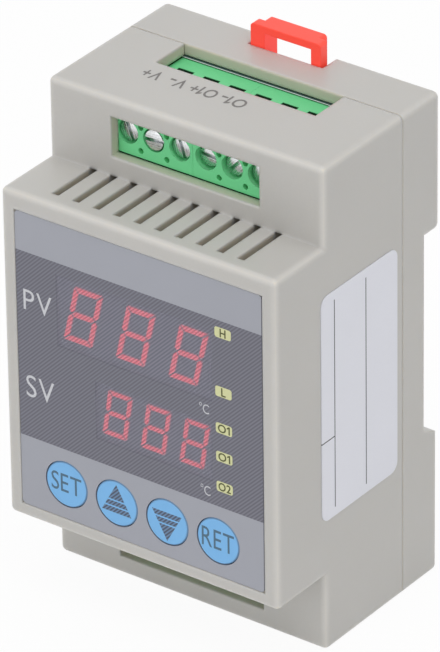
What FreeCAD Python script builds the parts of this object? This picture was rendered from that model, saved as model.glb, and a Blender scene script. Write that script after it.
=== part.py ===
"""Temperature controller for a 35 mm mounting rail, as a parametric document.

The origin is the centre of the seat that lies against the rail. +X is to the right
seen from the front, +Y points back to the rail and +Z is up. Lengths are millimetres.
"""
import FreeCAD, Part
import os
from types import SimpleNamespace
import Sketcher

# Driving dimensions: name, value, meaning.
SIZES = (
    ("case_width", 53.5, "case, side to side"),
    ("case_height", 87.8, "case, bottom to top"),
    ("shoulder", 14.0, "height of each step above and below the front block"),
    ("step_depth", 12.9, "front face to the shoulder walls"),
    ("wall", 2.0, "wall of cover and base"),
    ("edge_radius", 1.1, "rounding of the outer edges"),
    ("seam_gap", 0.15, "groove between cover and base"),
    ("board_above_seam", 0.2, "main board's front in front of the seam"),
    ("seat_height", 45.4, "rail centre above the case's lower end"),
    ("rail_width", 35.0, "mounting rail, edge to edge"),
    ("rail_clearance", 0.15, "play at each edge of the rail"),
    ("rail_thickness", 1.0, "sheet of the rail"),
    ("rear_depth", 4.5, "upper rear block behind the seat"),
    ("foot_depth", 4.0, "lower foot behind the seat"),
    ("foot_fall", 1.8, "slope of the foot's upper face"),
    ("foot_radius", 1.3, "rounding at the rear of the rail channel"),
    ("relief", 0.4, "hollows in the seat under the catches"),
    ("lip_width", 8.0, "fixed rail lip, along the rail"),
    ("lip_spacing", 28.0, "fixed rail lips, centre to centre"),
    ("lip_reach", 1.7, "overlap of lip and catch over the rail's edge"),
    ("lip_thickness", 1.5, "fixed rail lip, front to back"),
    ("lip_play", 0.5, "room behind the rail's sheet"),
    ("standoff", 2.5, "main board above the base's floor"),
    ("post_side", 5.0, "square posts under the main board"),
    ("post_inset", 3.7, "posts from the main board's side edges"),
    ("post_end_inset", 11.0, "posts from the main board's ends"),
    ("tongue_thickness", 1.2, "snap tongues on the base's sides"),
    ("tongue_height", 2.5, "snap tongues in front of the seam"),
    ("tongue_inset", 8.0, "snap tongues from the case's ends"),
    ("snap_height", 0.4, "snap bead on each tongue"),
    ("fit", 0.1, "play between fixed pieces"),
    ("play", 0.2, "play around sliding pieces"),
    ("face_gap", 0.05, "gap at faces that meet on moving pieces"),
    ("clip_width", 13.6, "catch, flange width"),
    ("clip_flange", 1.8, "catch, flange thickness"),
    ("clip_depth", 3.5, "catch, front to back"),
    ("clip_inset", 1.2, "catch's rear part, narrower on each side"),
    ("clip_travel", 3.0, "catch, upward travel"),
    ("clip_rise", 3.9, "pull loop above the case"),
    ("clip_bar", 1.3, "bar at the top of the pull loop"),
    ("clip_leg", 1.85, "right leg of the pull loop"),
    ("clip_leg_left", 2.65, "left leg of the pull loop"),
    ("loop_sunk", 2.6, "pull loop's opening below the case's upper end"),
    ("clip_radius", 0.6, "rounding of the pull loop"),
    ("notch_play", 0.5, "notch beside the catch in the base's upper end"),
    ("notch_height", 3.0, "height of that notch"),
    ("stop_width", 3.0, "stop peg in the catch's slot"),
    ("stop_height", 3.0, "stop peg, along the travel"),
    ("stop_above_rail", 8.0, "stop peg above the rail channel"),
    ("film_side_margin", 2.7, "front face beside the foil"),
    ("film_low_margin", 2.6, "front face below the foil"),
    ("film_high_margin", 3.3, "front face above the foil"),
    ("film_recess", 0.5, "recess for the foil"),
    ("film_thickness", 0.4, "foil"),
    ("film_radius", 0.8, "corners of the foil"),
    ("key_diameter", 8.2, "key cap"),
    ("key_pitch", 10.0, "keys, centre to centre"),
    ("key_rise", 6.4, "keys above the foil's lower edge"),
    ("key_flange", 9.6, "square collar behind the front wall"),
    ("key_collar", 0.8, "thickness of the collar"),
    ("key_proud", 0.05, "key cap in front of the foil"),
    ("key_bevel", 0.25, "bevel of the key cap"),
    ("key_travel", 0.3, "key stroke"),
    ("switch_side", 6.0, "switch body, square"),
    ("plunger_side", 3.0, "switch plunger, square"),
    ("plunger_rise", 1.3, "plunger in front of its switch"),
    ("plunger_sunk", 1.0, "plunger inside its switch"),
    ("board_thickness", 1.6, "circuit boards"),
    ("board_gap", 0.3, "boards to the case walls"),
    ("ledge", 1.4, "ledges in front of the display board"),
    ("lug_reach", 0.8, "lugs behind the display board, over its edge"),
    ("lug_length", 5.0, "lugs, along the case"),
    ("lug_depth", 1.5, "lugs, front to back"),
    ("lug_spacing", 36.0, "lugs, centre to centre"),
    ("display_depth", 6.7, "display modules, front to back"),
    ("display_setback", 0.45, "display faces behind the foil"),
    ("segment_thickness", 0.3, "lit segments on the display faces"),
    ("pv_width", 30.4, "upper display module"),
    ("pv_height", 13.0, "upper display module"),
    ("pv_offset", -0.98, "upper display module, from the middle"),
    ("pv_rise", 38.16, "upper display above the foil's lower edge"),
    ("pv_digit_height", 10.15, "upper digits"),
    ("pv_digit_width", 5.6, "upper digits"),
    ("pv_digit_pitch", 10.3, "upper digits"),
    ("pv_slant", 0.24, "upper digits, lean for each millimetre of height"),
    ("pv_stroke", 0.95, "upper digits, segment width"),
    ("sv_width", 23.0, "lower display module"),
    ("sv_height", 10.6, "lower display module"),
    ("sv_offset", 2.68, "lower display module, from the middle"),
    ("sv_rise", 22.39, "lower display above the foil's lower edge"),
    ("sv_digit_height", 8.3, "lower digits"),
    ("sv_digit_width", 4.75, "lower digits"),
    ("sv_digit_pitch", 7.57, "lower digits"),
    ("sv_slant", 0.166, "lower digits, lean for each millimetre of height"),
    ("sv_stroke", 0.8, "lower digits, segment width"),
    ("segment_gap", 0.38, "between the ends of two segments"),
    ("lamp_width", 3.1, "indicator lamp"),
    ("lamp_height", 1.8, "indicator lamp"),
    ("lamp_gap", 0.28, "feet of the indicator lamps from the displays"),
    ("lamp_foot", 0.4, "wider foot of each lamp"),
    ("lamp_foot_depth", 2.0, "foot of each lamp, front to back"),
    ("lamp_one_rise", 44.7, "high alarm lamp above the foil's lower edge"),
    ("lamp_two_rise", 34.05, "low alarm lamp"),
    ("lamp_three_rise", 27.4, "first output lamp"),
    ("lamp_four_rise", 22.2, "second output lamp"),
    ("lamp_five_rise", 16.7, "third output lamp"),
    ("vent_width", 1.4, "cooling slots"),
    ("vent_pitch", 4.0, "cooling slots"),
    ("vent_setback", 2.9, "cooling slots behind the front face"),
    ("pole_pitch", 5.08, "terminal poles"),
    ("end_wall", 0.6, "outer end wall of a terminal housing"),
    ("housing_gap", 0.02, "terminal housing from the middle of its row"),
    ("terminal_height", 8.0, "terminal housing, along the wires"),
    ("terminal_gap", 0.15, "terminal face behind the shoulder wall"),
    ("wire_face_drop", 2.5, "wire face inside the case's end"),
    ("window_drop", 3.4, "screw window inside the case's end"),
    ("window_sill", 0.1, "screw window beyond the terminal's inner end"),
    ("window_overlap", 1.4, "shoulder wall over each end of the terminals"),
    ("wire_opening_lap", 0.3, "case over each end of the terminals at the wire side"),
    ("wire_opening_depth", 13.45, "shoulder wall to the wire opening"),
    ("screw_drop", 4.1, "screws from the wire face"),
    ("screw_head", 3.5, "head diameter"),
    ("screw_hole", 4.1, "hole over the head"),
    ("screw_recess", 1.0, "head below the housing's face, fully home"),
    ("screw_head_depth", 1.7, "head thickness"),
    ("screw_shank", 2.3, "shank, across its flats"),
    ("screw_slot", 0.6, "slot width"),
    ("screw_slot_depth", 0.9, "slot depth"),
    ("thread_play", 0.05, "shank's corners in the cage's hole, on each side"),
    ("shoulder_web", 0.8, "web under the screw head"),
    ("nut_wall", 1.8, "threaded wall of a cage"),
    ("cage_wall", 0.65, "side walls of a cage"),
    ("cage_floor", 1.0, "clamping wall of a cage"),
    ("cage_length", 4.9, "cage, along the wire"),
    ("cage_travel", 2.5, "cage, clamping travel"),
    ("cage_stop", 0.3, "cage to the web at the end of its travel"),
    ("cavity_wall", 0.78, "wall between two poles"),
    ("cavity_cap", 0.6, "housing wall at the wire face"),
    ("contact_gap", 0.3, "screw tip to the contact bar"),
    ("screw_engagement", 1.9, "shank beyond the threaded wall"),
    ("contact_thickness", 0.8, "contact bar"),
    ("contact_width", 2.2, "contact bar"),
    ("pin_width", 1.0, "solder pin"),
    ("pin_tail", 1.4, "solder pin behind the board"),
    ("wire_gap", 4.5, "open clamp, contact bar to cage floor"),
    ("wire_entry_width", 3.1, "wire entry"),
    ("rear_gap", 2.05, "open cage to the main board"),
    ("probe_hole", 1.0, "small holes in the housing's face"),
    ("probe_depth", 2.0, "depth of those holes"),
    ("probe_drop_one", 2.6, "outer row of small holes from the wire face"),
    ("probe_drop_two", 6.75, "inner row of small holes from the wire face"),
    ("header_pitch", 2.54, "board connector"),
    ("header_side", 2.5, "board connector, strip width"),
    ("header_drop", 22.0, "board connector below the rail centre"),
    ("header_pin", 0.64, "square pins"),
    ("header_insert", 6.0, "pins inside the socket"),
    ("socket_depth", 8.5, "socket, front to back"),
    ("relay_width", 15.5, "relay"),
    ("relay_height", 19.0, "relay"),
    ("relay_depth", 15.0, "relay, above the board"),
    ("relay_x", -9.5, "relay, place on the board"),
    ("relay_z", -8.0, "relay, place on the board"),
    ("relay_round", 0.8, "relay's edges"),
    ("core_width", 17.0, "transformer core"),
    ("core_height", 14.0, "transformer core, above the board"),
    ("core_thickness", 6.0, "transformer core"),
    ("core_limb", 2.6, "outer limbs and yokes"),
    ("core_leg", 4.4, "middle limb"),
    ("coil_play", 0.2, "coil in the core's windows"),
    ("coil_wall", 3.2, "winding over and under the middle limb"),
    ("transformer_x", 9.5, "transformer, place on the board"),
    ("transformer_z", 8.0, "transformer, place on the board"),
    ("can_diameter", 8.0, "capacitor"),
    ("can_depth", 14.0, "capacitor, above the board"),
    ("can_bevel", 0.5, "bevel at the top of the capacitor"),
    ("can_x", -12.0, "capacitor, place on the board"),
    ("can_z", 14.0, "capacitor, place on the board"),
    ("fastener_head", 4.0, "board screw, head"),
    ("fastener_head_depth", 1.5, "board screw, head"),
    ("fastener_shank", 1.9, "board screw, shank"),
    ("fastener_grip", 3.0, "board screw in its post"),
    ("label_setback", 11.8, "side label behind the front face"),
    ("label_width", 20.6, "side label, front to back"),
    ("label_height", 40.9, "side label"),
    ("label_rise", -0.55, "side label's middle above the rail centre"),
    ("label_thickness", 0.15, "side label"),
    ("label_radius", 1.8, "corners of the side label"),
)

KEY_NAMES = ("set", "up", "down", "return")
LAMP_NAMES = ("one", "two", "three", "four", "five")
DIGITS = 3
POLES = 3
SCREWS_IN_A_ROW = 2 * POLES
VENTS = 10
HEADER_PINS = 6
# Resting angle of each screw slot in degrees, left to right, as left by a screwdriver.
SLOT_ANGLES = {
    "top": (112, 4, 108, 176, 45, 80),
    "bottom": (20, 95, 140, 60, 170, 118),
}
# How far each screw is backed out of its recess, as a share of it, in the same order.
BACKED_OUT = {
    "top": (0.4, 0.9, 0.35, 0.0, 0.05, 0.1),
    "bottom": (0.2, 0.1, 0.5, 0.3, 0.0, 0.4),
}
# Half a turn about Y sets the lower terminals as the upper ones.
ENDS = {"top": 0, "bottom": 180}
TINY = 1e-6
# Small round features that repeat are octagons, to keep their faces few.
OCTAGON_SIDE = 0.41421356
OCTAGON_CORNERS = 1.0823922


class Size:
    """A length with its formula in the document and its present value."""

    def __init__(self, text, value):
        self.text = text
        self.value = value

    def _joined(self, sign, other, value, swapped=False):
        ends = (self.text, _size(other).text)
        first, second = reversed(ends) if swapped else ends
        return Size(f"({first} {sign} {second})", value)

    def __add__(self, other):
        return self._joined("+", other, self.value + _size(other).value)

    def __radd__(self, other):
        return self._joined("+", other, _size(other).value + self.value, swapped=True)

    def __sub__(self, other):
        return self._joined("-", other, self.value - _size(other).value)

    def __rsub__(self, other):
        return self._joined("-", other, _size(other).value - self.value, swapped=True)

    def __mul__(self, other):
        return self._joined("*", other, self.value * _size(other).value)

    def __rmul__(self, other):
        return self._joined("*", other, _size(other).value * self.value, swapped=True)

    def __truediv__(self, other):
        return self._joined("/", other, self.value / _size(other).value)

    def __neg__(self):
        return Size(f"(-{self.text})", -self.value)


def _size(value):
    return value if isinstance(value, Size) else Size(repr(float(value)), float(value))


def larger(first, second):
    """The larger of two lengths."""
    return Size(f"max({first.text}; {second.text})", max(first.value, second.value))


doc = FreeCAD.newDocument("temperature_controller")
sheet = doc.addObject("Spreadsheet::Sheet", "sizes")
places = doc.addObject("App::VarSet", "places")
size = SimpleNamespace()
at = SimpleNamespace()
pieces = []


def fill_sheet():
    """Writes the driving dimensions to the sheet."""
    for row, (alias, value, meaning) in enumerate(SIZES, 1):
        sheet.set(f"A{row}", meaning)
        sheet.set(f"B{row}", str(value))
        sheet.setAlias(f"B{row}", alias)
        setattr(size, alias, Size(f"sizes.{alias}", float(value)))
    doc.recompute()


def name_place(name, formula):
    """Keeps a worked-out place in the document under a name of its own."""
    places.addProperty("App::PropertyFloat", name, "Places")
    places.setExpression(name, formula.text)
    setattr(at, name, Size(f"places.{name}", formula.value))


def bind(obj, prop, length):
    obj.setExpression(prop, _size(length).text)


def keep(obj):
    """Notes a finished sub-part: its label names its file."""
    pieces.append(obj)
    return obj


def put(obj, x, y, z, turn=0.0):
    """Places an object, turned about Y by whole degrees."""
    obj.Placement = FreeCAD.Placement(
        FreeCAD.Vector(), FreeCAD.Rotation(FreeCAD.Vector(0, 1, 0), turn))
    for axis, length in zip("xyz", (x, y, z)):
        bind(obj, f"Placement.Base.{axis}", length)
    return obj


def new_body(label):
    return doc.addObject("PartDesign::Body", label)


def origin_feature(body, role):
    return next(feature for feature in body.Origin.OriginFeatures if feature.Role == role)


def sketch_on(body, role, offset):
    sketch = body.newObject("Sketcher::SketchObject", body.Name + "_sketch")
    sketch.AttachmentSupport = (origin_feature(body, role), "")
    sketch.MapMode = "FlatFace"
    bind(sketch, "AttachmentOffset.Base.z", offset)
    return sketch


def front_sketch(body, y):
    """A sketch in X and Z; pads go forward from it and pockets back."""
    return sketch_on(body, "XZ_Plane", -_size(y))


def top_sketch(body, z):
    """A sketch in X and Y; pads go up from it and pockets down."""
    return sketch_on(body, "XY_Plane", z)


def side_sketch(body, x=0):
    """A sketch in Y and Z; pads go right from it and pockets left."""
    return sketch_on(body, "YZ_Plane", x)


def fix_point(sketch, shape, point, across, up):
    for kind, length in (("DistanceX", across), ("DistanceY", up)):
        length = _size(length)
        row = sketch.addConstraint(Sketcher.Constraint(kind, -1, 1, shape, point, length.value))
        sketch.setExpression(f"Constraints[{row}]", length.text)


def outline(sketch, corners):
    """Draws a closed outline with straight sides through corners tied to the sheet."""
    first = sketch.GeometryCount
    count = len(corners)
    points = [FreeCAD.Vector(_size(across).value, _size(up).value) for across, up in corners]
    for row, point in enumerate(points):
        sketch.addGeometry(Part.LineSegment(point, points[(row + 1) % count]), False)
    for row, (across, up) in enumerate(corners):
        after = first + (row + 1) % count
        sketch.addConstraint(Sketcher.Constraint("Coincident", first + row, 2, after, 1))
        fix_point(sketch, first + row, 1, across, up)
    return sketch


def rectangle(sketch, left, right, low, high):
    return outline(sketch, [(left, low), (right, low), (right, high), (left, high)])


def centred(sketch, across, up, width, height):
    """A rectangle about a point."""
    return rectangle(sketch, across - width / 2, across + width / 2,
                     up - height / 2, up + height / 2)


def circle(sketch, across, up, diameter):
    across, up, diameter = _size(across), _size(up), _size(diameter)
    middle = FreeCAD.Vector(across.value, up.value)
    shape = sketch.addGeometry(
        Part.Circle(middle, FreeCAD.Vector(0, 0, 1), diameter.value / 2), False)
    fix_point(sketch, shape, 3, across, up)
    row = sketch.addConstraint(Sketcher.Constraint("Diameter", shape, diameter.value))
    sketch.setExpression(f"Constraints[{row}]", diameter.text)
    return sketch


def octagon(sketch, across, up, width):
    """A regular octagon about a point, by its width across the flats."""
    half = width / 2
    near = half * OCTAGON_SIDE
    turns = ((half, near), (near, half), (-near, half), (-half, near),
             (-half, -near), (-near, -half), (near, -half), (half, -near))
    return outline(sketch, [(across + right, up + high) for right, high in turns])


def feature(kind, body, sketch, length, both_sides, turned):
    made = body.newObject("PartDesign::" + kind, body.Name + "_" + kind.lower())
    made.Profile = sketch
    made.SideType = "Symmetric" if both_sides else "One side"
    made.Reversed = turned
    bind(made, "Length", length)
    return made


def pad(body, sketch, length, both_sides=False, turned=False):
    return feature("Pad", body, sketch, length, both_sides, turned)


def pocket(body, sketch, length, both_sides=False, turned=False):
    return feature("Pocket", body, sketch, length, both_sides, turned)


def row_of(body, original, pitch, count):
    """Repeats a feature along X."""
    made = body.newObject("PartDesign::LinearPattern", body.Name + "_row")
    made.Originals = [original]
    made.Direction = (origin_feature(body, "X_Axis"), [""])
    made.Mode = "Spacing"
    bind(made, "Offset", pitch)
    made.Occurrences = count
    body.Tip = made
    return made


def turned_body(label, half_profile):
    """A body turned about its own Y axis from corners of radius and place along Y."""
    body = new_body(label)
    sketch = outline(top_sketch(body, 0), half_profile)
    turn = body.newObject("PartDesign::Revolution", label + "_turn")
    turn.Profile = sketch
    turn.ReferenceAxis = (origin_feature(body, "Y_Axis"), [""])
    turn.Angle = 360
    return body


def dress_edges(kind, prop, body, base, length, wanted):
    """Dresses the edges of a feature that the test on their end points picks."""
    doc.recompute()
    names = [f"Edge{row}" for row, edge in enumerate(base.Shape.Edges, 1)
             if wanted([vertex.Point for vertex in edge.Vertexes])]
    made = body.newObject("PartDesign::" + kind, body.Name + "_" + kind.lower())
    made.Base = (base, names)
    bind(made, prop, length)
    return made


def round_edges(body, base, radius, wanted):
    return dress_edges("Fillet", "Radius", body, base, radius, wanted)


def bevel_edges(body, base, length, wanted):
    return dress_edges("Chamfer", "Size", body, base, length, wanted)


def all_at(points, **where):
    """True where every point has the given coordinates."""
    return all(abs(getattr(point, axis) - _size(length).value) < TINY
               for point in points for axis, length in where.items())


def along(points, axis):
    """True for an edge that runs along one axis."""
    if len(points) < 2:
        return False
    span = points[1] - points[0]
    return abs(abs(getattr(span, axis)) - span.Length) < TINY


def block(name, left, right, front, back, low, high):
    """A Part box between six faces."""
    box = doc.addObject("Part::Box", name)
    bind(box, "Length", right - left)
    bind(box, "Width", back - front)
    bind(box, "Height", high - low)
    return put(box, left, front, low)


def cut(name, base, tool):
    made = doc.addObject("Part::Cut", name)
    made.Base = base
    made.Tool = tool
    return made


def joined(name, shapes):
    made = doc.addObject("Part::MultiFuse", name)
    made.Shapes = shapes
    return made


def group(name, members):
    made = doc.addObject("Part::Compound", name)
    made.Links = members
    return made


def name_places():
    """Works out the places that several pieces share."""
    s = size
    # Terminal housing, from its face back to the main board.
    name_place("web_front", s.screw_recess + s.screw_head_depth + s.fit)
    name_place("cavity_front", at.web_front + s.shoulder_web)
    name_place("nut_front", at.cavity_front + s.cage_stop + s.cage_travel)
    name_place("nut_back", at.nut_front + s.nut_wall)
    name_place("screw_tip", at.nut_back + s.screw_engagement)
    name_place("contact_front", at.screw_tip + s.contact_gap)
    name_place("contact_back", at.contact_front + s.contact_thickness)
    name_place("floor_front", at.contact_back + s.wire_gap)
    name_place("terminal_depth", at.floor_front + s.cage_floor + s.rear_gap)
    # Depth, from the rail seat forward to the front face.
    name_place("board_back", -(s.wall + s.standoff))
    name_place("board_front", at.board_back - s.board_thickness)
    name_place("seam_y", at.board_front + s.board_above_seam)
    name_place("terminal_face", at.board_front - at.terminal_depth)
    name_place("step_y", at.terminal_face - s.terminal_gap - s.wall)
    name_place("front_y", at.step_y - s.step_depth)
    name_place("front_inner_y", at.front_y + s.wall)
    name_place("step_inner_y", at.step_y + s.wall)
    name_place("base_front", at.seam_y + s.seam_gap)
    name_place("film_back", at.front_y + s.film_recess)
    name_place("film_front", at.film_back - s.film_thickness)
    name_place("display_face", at.film_back + s.display_setback)
    name_place("panel_front", at.display_face + s.display_depth)
    name_place("panel_back", at.panel_front + s.board_thickness)
    # Height.
    name_place("bottom_z", -s.seat_height)
    name_place("top_z", at.bottom_z + s.case_height)
    name_place("shelf_low", at.bottom_z + s.shoulder)
    name_place("shelf_high", at.top_z - s.shoulder)
    name_place("film_low", at.shelf_low + s.film_low_margin)
    name_place("film_high", at.shelf_high - s.film_high_margin)
    name_place("rail_half", s.rail_width / 2 + s.rail_clearance)
    name_place("wire_top", at.top_z - s.wire_face_drop)
    name_place("wire_bottom", at.bottom_z + s.wire_face_drop)
    # Width.
    name_place("half_width", s.case_width / 2)
    name_place("inner_half", at.half_width - s.wall)
    name_place("board_half", at.inner_half - s.fit - s.tongue_thickness - s.board_gap)
    name_place("terminal_half", POLES * s.pole_pitch + s.end_wall)
    name_place("film_half", at.half_width - s.film_side_margin)
    # Main board.
    name_place("board_low", at.bottom_z + s.wall + s.board_gap)
    name_place("board_high", at.top_z - s.wall - s.board_gap)
    name_place("post_x", at.board_half - s.post_inset)
    name_place("post_low", at.board_low + s.post_end_inset)
    name_place("post_high", at.board_high - s.post_end_inset)
    # Front panel.
    name_place("key_z", at.film_low + s.key_rise)
    name_place("pv_z", at.film_low + s.pv_rise)
    name_place("sv_z", at.film_low + s.sv_rise)
    displays_end = larger(s.pv_offset + s.pv_width / 2, s.sv_offset + s.sv_width / 2)
    name_place("lamp_x", displays_end + s.lamp_gap + s.lamp_foot + s.lamp_width / 2)
    name_place("key_hole", s.key_diameter + 2 * s.play)
    name_place("collar_front", at.front_inner_y + s.face_gap)
    name_place("collar_back", at.collar_front + s.key_collar)
    name_place("plunger_front", at.collar_back + s.face_gap)
    name_place("switch_front", at.plunger_front + s.plunger_rise)
    # Rail catch.
    name_place("clip_front", s.face_gap)
    name_place("clip_half", s.clip_width / 2)
    name_place("clip_rear_half", s.clip_width / 2 - s.clip_inset)
    name_place("clip_step", at.clip_front + s.clip_flange)
    name_place("clip_back", at.clip_front + s.clip_depth)
    name_place("clip_top", at.top_z + s.clip_rise)
    name_place("hook_front", s.rail_thickness + s.lip_play)
    name_place("hook_low", at.rail_half - s.lip_reach)
    name_place("stop_low", at.rail_half + s.stop_above_rail)
    name_place("stop_high", at.stop_low + s.stop_height)
    doc.recompute()


def lamp_heights():
    return [at.film_low + getattr(size, f"lamp_{name}_rise") for name in LAMP_NAMES]


def pole_x(row):
    """Place of a pole along X, counted from the left."""
    return (row - (SCREWS_IN_A_ROW - 1) / 2) * size.pole_pitch


def key_x(row):
    return (row - (len(KEY_NAMES) - 1) / 2) * size.key_pitch


def make_front_cover():
    """Stepped front half of the case, hollow, open at the seam."""
    s = size
    body = new_body("front_cover")
    profile = outline(side_sketch(body), [
        (at.front_y, at.shelf_low), (at.front_y, at.shelf_high),
        (at.step_y, at.shelf_high), (at.step_y, at.top_z),
        (at.seam_y, at.top_z), (at.seam_y, at.bottom_z),
        (at.step_y, at.bottom_z), (at.step_y, at.shelf_low)])
    outer = pad(body, profile, s.case_width, both_sides=True)

    def outer_edge(points):
        at_seam = all_at(points, y=at.seam_y)
        in_step = (all_at(points, y=at.step_y, z=at.shelf_high)
                   or all_at(points, y=at.step_y, z=at.shelf_low))
        return not at_seam and not in_step

    round_edges(body, outer, s.edge_radius, outer_edge)
    hollow = outline(side_sketch(body), [
        (at.front_inner_y, at.shelf_low + s.wall), (at.front_inner_y, at.shelf_high - s.wall),
        (at.step_inner_y, at.shelf_high - s.wall), (at.step_inner_y, at.top_z - s.wall),
        (at.seam_y, at.top_z - s.wall), (at.seam_y, at.bottom_z + s.wall),
        (at.step_inner_y, at.bottom_z + s.wall), (at.step_inner_y, at.shelf_low + s.wall)])
    pocket(body, hollow, 2 * at.inner_half, both_sides=True)
    add_front_openings(body)
    add_shoulder_openings(body)
    add_panel_ledges(body)
    add_snap_grooves(body)
    return keep(body)


def add_front_openings(body):
    """Foil recess, display windows, lamp windows and key holes."""
    s = size
    recess = rectangle(front_sketch(body, at.front_y),
                       -at.film_half - s.fit, at.film_half + s.fit,
                       at.film_low - s.fit, at.film_high + s.fit)
    pocket(body, recess, s.film_recess)
    windows = front_sketch(body, at.film_back)
    centred(windows, s.pv_offset, at.pv_z, s.pv_width + 2 * s.play, s.pv_height + 2 * s.play)
    centred(windows, s.sv_offset, at.sv_z, s.sv_width + 2 * s.play, s.sv_height + 2 * s.play)
    pocket(body, windows, s.wall)
    lamps = front_sketch(body, at.film_back)
    for height in lamp_heights():
        centred(lamps, at.lamp_x, height, s.lamp_width + 2 * s.fit, s.lamp_height + 2 * s.fit)
    pocket(body, lamps, s.wall)
    hole = centred(front_sketch(body, at.film_back), key_x(0), at.key_z, at.key_hole, at.key_hole)
    row_of(body, pocket(body, hole, s.wall), s.key_pitch, len(KEY_NAMES))


def add_shoulder_openings(body):
    """Cooling slots, screw windows and wire openings, the same above and below."""
    s = size
    first_vent = -(VENTS - 1) / 2 * s.vent_pitch
    slot = rectangle(top_sketch(body, at.shelf_high),
                     first_vent - s.vent_width / 2, first_vent + s.vent_width / 2,
                     at.front_y + s.vent_setback, at.step_inner_y)
    through = pocket(body, slot, s.case_height - 2 * s.shoulder)
    row_of(body, through, s.vent_pitch, VENTS)
    window_half = at.terminal_half - s.window_overlap
    inner_end = s.wire_face_drop + s.terminal_height + s.window_sill
    windows = front_sketch(body, at.step_y)
    rectangle(windows, -window_half, window_half, at.top_z - inner_end, at.top_z - s.window_drop)
    rectangle(windows, -window_half, window_half,
              at.bottom_z + s.window_drop, at.bottom_z + inner_end)
    pocket(body, windows, s.wall)
    wire_half = at.terminal_half - s.wire_opening_lap
    opening = rectangle(top_sketch(body, at.top_z), -wire_half, wire_half,
                        at.step_y + s.wire_opening_depth, at.seam_y)
    pocket(body, opening, s.case_height)


def add_panel_ledges(body):
    """Ledges in front of the display board and lugs behind it, on both side walls."""
    s = size
    middle = (at.shelf_low + at.shelf_high) / 2
    low = middle - s.lug_spacing / 2 - s.lug_length
    high = middle + s.lug_spacing / 2 + s.lug_length
    ledge_x = at.inner_half - s.ledge
    ledges = front_sketch(body, at.panel_front)
    rectangle(ledges, ledge_x, at.inner_half, low, high)
    rectangle(ledges, -at.inner_half, -ledge_x, low, high)
    pad(body, ledges, at.panel_front - at.front_inner_y)
    lug_x = at.inner_half - s.lug_reach
    lugs = front_sketch(body, at.panel_back + s.fit)
    for height in (middle - s.lug_spacing / 2, middle + s.lug_spacing / 2):
        rectangle(lugs, lug_x, at.inner_half, height - s.lug_length / 2, height + s.lug_length / 2)
        rectangle(lugs, -at.inner_half, -lug_x, height - s.lug_length / 2, height + s.lug_length / 2)
    pad(body, lugs, s.lug_depth, turned=True)


def snap_bead():
    """Middle of the snap bead along Y."""
    return at.seam_y - size.tongue_height / 2


def add_snap_grooves(body):
    """Grooves for the base's snap beads in both side walls."""
    s = size
    depth = s.snap_height + s.fit
    grooves = top_sketch(body, at.bottom_z + s.tongue_inset - s.play)
    for inner, outer in ((at.inner_half, at.inner_half + depth), (-at.inner_half - depth, -at.inner_half)):
        rectangle(grooves, inner, outer,
                  snap_bead() - s.snap_height - s.play, snap_bead() + s.snap_height + s.play)
    length = s.case_height - 2 * s.tongue_inset + 2 * s.play
    pocket(body, grooves, length, turned=True)


def make_rear_base():
    """Rear half of the case: a tray with the rail channel on its back."""
    s = size
    body = new_body("rear_base")
    profile = outline(side_sketch(body), [
        (at.base_front, at.bottom_z), (s.foot_depth, at.bottom_z),
        (s.foot_depth, -at.rail_half - s.foot_fall), (0, -at.rail_half),
        (0, at.rail_half), (s.rear_depth, at.rail_half),
        (s.rear_depth, at.top_z), (at.base_front, at.top_z)])
    outer = pad(body, profile, s.case_width, both_sides=True)

    def outer_edge(points):
        beyond_rail = all(abs(point.z) > at.rail_half.value + TINY for point in points)
        behind_seat = all(point.y > TINY for point in points)
        level = along(points, "x") or along(points, "y")
        upright = along(points, "z") and behind_seat
        return not all_at(points, y=at.base_front) and (upright or level and beyond_rail)

    rounded = round_edges(body, outer, s.edge_radius, outer_edge)

    def channel_edge(points):
        return all_at(points, y=s.rear_depth, z=at.rail_half) and along(points, "x")

    round_edges(body, rounded, s.foot_radius, channel_edge)
    tray = rectangle(front_sketch(body, at.base_front), -at.inner_half, at.inner_half,
                     at.bottom_z + s.wall, at.top_z - s.wall)
    pocket(body, tray, -s.wall - at.base_front)
    add_coring(body)
    add_clip_channel(body)
    add_rail_lips(body)
    add_tongues(body)
    add_board_posts(body)
    return keep(body)


def add_coring(body):
    """Hollows that keep the walls of the rear blocks even, from inside the tray."""
    s = size
    beside_clip = at.clip_half + s.notch_play + s.wall
    upper = front_sketch(body, -s.wall)
    for left, right in ((beside_clip, at.inner_half), (-at.inner_half, -beside_clip)):
        rectangle(upper, left, right, at.rail_half + s.wall, at.top_z - s.wall)
    pocket(body, upper, s.rear_depth)
    lower = rectangle(front_sketch(body, -s.wall), -at.inner_half, at.inner_half,
                      at.bottom_z + s.wall, -at.rail_half - s.foot_fall - s.wall)
    pocket(body, lower, s.foot_depth)


def add_clip_channel(body):
    """T-shaped guide for the catch, its notch at the upper end and its stop peg."""
    s = size
    wide = at.clip_half + s.play
    narrow = at.clip_rear_half + s.play
    floor = -s.fit
    guide = outline(top_sketch(body, at.top_z), [
        (-wide, floor), (wide, floor),
        (wide, at.clip_step + s.play), (narrow, at.clip_step + s.play),
        (narrow, s.rear_depth), (-narrow, s.rear_depth),
        (-narrow, at.clip_step + s.play), (-wide, at.clip_step + s.play)])
    pocket(body, guide, at.top_z - at.rail_half)
    notch_half = at.clip_half + s.notch_play
    notch = rectangle(top_sketch(body, at.top_z), -notch_half, notch_half, floor, s.rear_depth)
    pocket(body, notch, s.notch_height)
    stop = rectangle(front_sketch(body, floor), -s.stop_width / 2, s.stop_width / 2,
                     at.stop_low, at.stop_high)
    pad(body, stop, at.clip_step - s.fit, turned=True)


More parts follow.
